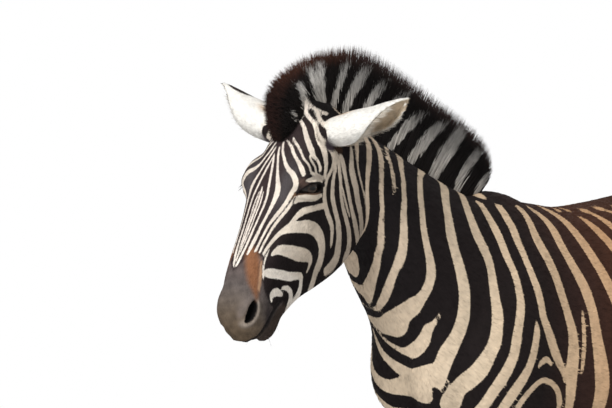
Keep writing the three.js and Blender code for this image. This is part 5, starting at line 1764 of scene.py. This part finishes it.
def bent(root, way, bend, length):
    """Paths of five points from roots, which start one way and bend towards another."""
    places = np.linspace(0, 1, 5)[None, :, None] * length[:, None, None]
    share = np.linspace(0, 1, 5)[None, :, None]
    return root[:, None] + unit(way)[:, None] * places + bend[:, None] * places * share


def ear_wall(side, f, around, inset):
    """Points of an ear's wall at shares f of its length and shares of the way round it from its front rim
    to its rear rim, with the ways out of its opening and along the wall."""
    base, axis, down, front = ear_axes(side)
    rows = smooth_rows(LEAF, 8)
    wide, deep, to_front, to_rear, turn, off = (np.interp(f, rows[:, 0], rows[:, c]) for c in range(1, 7))
    c, s = np.cos(np.radians(turn))[:, None], np.sin(np.radians(turn))[:, None]
    opening, ahead = down * c + front * s, front * c - down * s
    angle = np.radians(to_front + (360 - to_front - to_rear) * around)
    middle = base + axis * (f * EAR_LENGTH)[:, None] - down * off[:, None]
    across = ahead * (np.sin(angle) * (wide - inset))[:, None]
    return middle + across + opening * (np.cos(angle) * (deep - inset))[:, None], opening, unit(across)


def make_ear_hair(side, material):
    """Soft hair inside an ear, thickest along its rims and at its foot."""
    f = 0.04 + 0.76 * rng.random(EAR_HAIRS) ** 1.3
    rim = 0.1 * rng.random(EAR_HAIRS) ** 1.5
    around = np.where(rng.random(EAR_HAIRS) < 0.34, rng.uniform(0.1, 0.9, EAR_HAIRS), rim)
    around = np.where(rng.random(EAR_HAIRS) < 0.5, around, 1 - around)
    root, opening, across = ear_wall(side, f, around, 3.6)
    axis = ear_axes(side)[1]
    way = axis * 0.8 + opening * 0.42 - across * 0.25 + rng.normal(0, 0.16, root.shape)
    bend = 0.3 * axis - 0.12 * opening + rng.normal(0, 0.1, root.shape)
    length = rng.uniform(14, 30, EAR_HAIRS) * (1 - 0.55 * f)
    light = ramp(f, [(0, (0.5, 0.4, 0.3)), (0.25, (0.74, 0.66, 0.55)), (1, (0.86, 0.82, 0.75))])
    name = f"ear_hair_{SIDE_NAMES[side]}"
    paths, places = bent(root, way, bend, length), on_chart("ear", around, f)
    hair_piece(name, paths, np.full(EAR_HAIRS, 0.5), opening, light, light * 0.2, True, material, places)


def make_lashes(side, material):
    """The upper lid's lashes."""
    along = np.linspace(-20, 27, LASHES) + rng.normal(0, 0.4, LASHES)
    across = lid_edges(along)[1] + 1.4
    shell = EYE_RADIUS + LID_THICK - 0.8
    out = np.sqrt(shell**2 - along**2 * 0.8 - across**2)
    c, s = math.cos(EYE_PITCH), math.sin(EYE_PITCH)

    def placed(a, b, y):
        return np.stack([c * a - s * b, y, s * a + c * b], 1)

    mirror = np.array([1, -side, 1])
    root = from_head((placed(along, across, out) + EYE) * mirror)
    way = placed(0.25 + 0.02 * along, rng.normal(-0.12, 0.12, LASHES), np.ones(LASHES)) * mirror @ HEAD_AXES
    bend = placed(0.2 + 0.01 * along, rng.normal(-0.55, 0.08, LASHES), np.zeros(LASHES)) * mirror @ HEAD_AXES
    length = rng.uniform(9, 14, LASHES)
    black = np.tile(LASH_COLOR, (LASHES, 1))
    name = f"lashes_{SIDE_NAMES[side]}"
    paths = bent(root, way, bend, length)
    places = on_chart("head", 0.5 + 0.004 * along, 0.4 + 0.002 * across)
    hair_piece(name, paths, np.full(LASHES, 0.4), unit(bend), black, black, False, material, places)


def make_whiskers(corners, normals, material):
    """Long thin hairs on the lips and the chin."""
    q = to_head(corners.mean(1))
    below = below_mouth(q)
    lips = smoothstep(q[:, 0], 458, 478) * (below < -4)
    chin = smoothstep(q[:, 0], 420, 440) * (below > 8) * 1.6
    p, n = scattered(corners, normals, lips + chin + 1e-6 * (q[:, 0] > 420), WHISKERS)
    way = n + 0.35 * HEAD_AXES[0] + rng.normal(0, 0.16, p.shape)
    bend = np.tile([0.0, 0.0, -0.35], (WHISKERS, 1))
    length = rng.uniform(18, 48, WHISKERS)
    brown = np.tile(WHISKER_COLOR, (WHISKERS, 1))
    paths, thick = bent(p, way, bend, length), rng.uniform(0.3, 0.5, WHISKERS)
    hair_piece("whiskers", paths, thick, n, brown, brown, False, material, unwrapped(p))


# ---------------------------------------------------------------- hooves
# Columns: height, x of the toe and of the heel, both from the middle of the coronet, and half width.
HOOF_RINGS = [
    [0, -74, 20, 39.5],
    [3, -75.4, 22.4, 41.6],
    [10, -73, 24, 42],
    [40, -55, 31, 40],
    [66, -41, 36.4, 38.2],
    [71, -37.5, 36, 36.6],
]
HOOF_SIDES = 48
HOOF_POWER = 2.2
HIND_HOOF = 0.94  # a hind hoof is this much as wide as a front one
GROWTH = 7.5  # the height of a growth ring


def hoof_material():
    """Dark horn with growth rings and fine streaks down it."""
    material, tree, shader = principled("hoof", roughness=0.5)
    tone = node(tree, "ShaderNodeValToRGB")
    tone.color_ramp.elements[0].color = (0.022, 0.018, 0.016, 1)
    tone.color_ramp.elements[1].color = (0.085, 0.07, 0.058, 1)
    link(tree, noise(tree, 60, 4, (2.4, 2.4, 0.25)), tone.inputs["Fac"])
    link(tree, tone.outputs["Color"], shader.inputs["Base Color"])
    add_bump(tree, shader, noise(tree, 120, 3, (3, 3, 0.2)), 0.001)
    return material


def make_hooves(material):
    for leg, (table, stance, side, shift) in LEGS.items():
        heights, fronts, backs = np.array(table, float)[:2, :3].T
        middle = (np.interp(CORONET, heights, fronts) + np.interp(CORONET, heights, backs)) / 2 + shift
        narrow = HIND_HOOF if "hind" in leg else 1
        rows = smooth_rows(HOOF_RINGS, 7)
        turn = 2 * math.pi * np.arange(HOOF_SIDES) / HOOF_SIDES
        c, s = bulged(np.cos(turn), HOOF_POWER), bulged(np.sin(turn), HOOF_POWER)
        rings = []
        for z, toe, heel, w in rows:
            swell = 0.5 * math.sin(2 * math.pi * z / GROWTH) * min(1, z / 8)
            x = middle + (toe + heel) / 2 + c * ((heel - toe) / 2 + swell)
            rings.append(np.stack([x, side * stance + s * (w * narrow + swell), np.full(HOOF_SIDES, z)], 1))
        points = np.vstack([*rings, rings[0].mean(0), rings[-1].mean(0)])
        mesh = mesh_of(f"horn_{leg}", points, tube_faces(len(rings), HOOF_SIDES)[:, ::-1])
        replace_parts(add_object(f"horn_{leg}", mesh, material), f"hoof_{leg}")


# ---------------------------------------------------------------- camera, floor and light
CAMERA_TARGET = Vector(in_metres([-499.6, 0.0, 1300.0]))
CAMERA_AZIMUTH, CAMERA_ELEVATION = math.radians(-45), math.radians(3)
CAMERA_DISTANCE = 9.0
CAMERA_LENS = 260.5  # mm, on a 36 mm sensor
FLOOR_SIZE = 12.0
WORLD_FILL = 0.42
LIGHTS = {  # place, what it points at, size and watts
    "key": ((-5.2, -1.2, 4.6), (-0.4, 0, 1.1), 2.4, 290),
    "side": ((-3.5, -6.5, 3.2), (0, 0, 1.0), 4.0, 70),
}


def to_target(obj, target):
    obj.rotation_euler = (obj.location - target).to_track_quat("Z", "Y").to_euler()


def make_camera():
    camera = in_scene("camera", bpy.data.cameras.new("camera"))
    aside, level = math.sin(CAMERA_AZIMUTH), math.cos(CAMERA_ELEVATION)
    back = Vector((aside * level, -math.cos(CAMERA_AZIMUTH) * level, math.sin(CAMERA_ELEVATION)))
    camera.location = CAMERA_TARGET + back * CAMERA_DISTANCE
    to_target(camera, CAMERA_TARGET)
    camera.data.lens = CAMERA_LENS
    camera.data.clip_end = 200
    bpy.context.scene.camera = camera


def make_light(name, place, target, size, power):
    light = in_scene(name, bpy.data.lights.new(name, "AREA"))
    light.location = place
    light.data.size = size
    light.data.energy = power
    to_target(light, Vector(target))


def make_world(fill):
    """White where the camera or a gloss sees it, and a weaker even fill on everything else."""
    world = bpy.data.worlds.new("world")
    world.use_nodes = True
    bpy.context.scene.world = world
    tree = world.node_tree
    background = tree.nodes["Background"]
    background.inputs["Color"].default_value = (1, 1, 1, 1)
    path = node(tree, "ShaderNodeLightPath")
    seen = path.outputs["Is Camera Ray"]
    for way in ("Is Glossy Ray", "Is Transmission Ray"):
        either = node(tree, "ShaderNodeMath", operation="MAXIMUM")
        link(tree, seen, either.inputs[0])
        link(tree, path.outputs[way], either.inputs[1])
        seen = either.outputs[0]
    link(tree, remapped(tree, seen, (fill, 1.0)), background.inputs["Strength"])


def make_floor():
    material, tree, shader = principled("floor", (0.8, 0.79, 0.77), 0.9)
    link(tree, remapped(tree, noise(tree, 3), (0.76, 0.82)), shader.inputs["Base Color"])
    half = FLOOR_SIZE / 2
    mesh = bpy.data.meshes.new("floor")
    corners = [(-half, -half, 0), (half, -half, 0), (half, half, 0), (-half, half, 0)]
    mesh.from_pydata(corners, [], [(0, 1, 2, 3)])
    mesh.materials.append(material)
    floor = in_scene("floor", mesh)


# ---------------------------------------------------------------- everything
make_camera()
skin_material = coat_material("coat_skin", True)
hair_material = coat_material("long_hair", False)
blade_material = coat_material("coat_hair", False)
skin_corners, skin_normals = make_body(skin_material)
make_coat(skin_corners, skin_normals, blade_material)
eye_look = eye_material()
for side in EAR_TIPS:
    make_eye(side, eye_look)
make_mane(hair_material)
make_tail_tuft(hair_material)
for side in EAR_TIPS:
    make_ear_hair(side, hair_material)
    make_lashes(side, hair_material)
make_whiskers(skin_corners, skin_normals, hair_material)
make_hooves(hoof_material())
make_world(WORLD_FILL)
for name, settings in LIGHTS.items():
    make_light(name, *settings)
make_floor()
bpy.context.scene.view_settings.view_transform = "Standard"
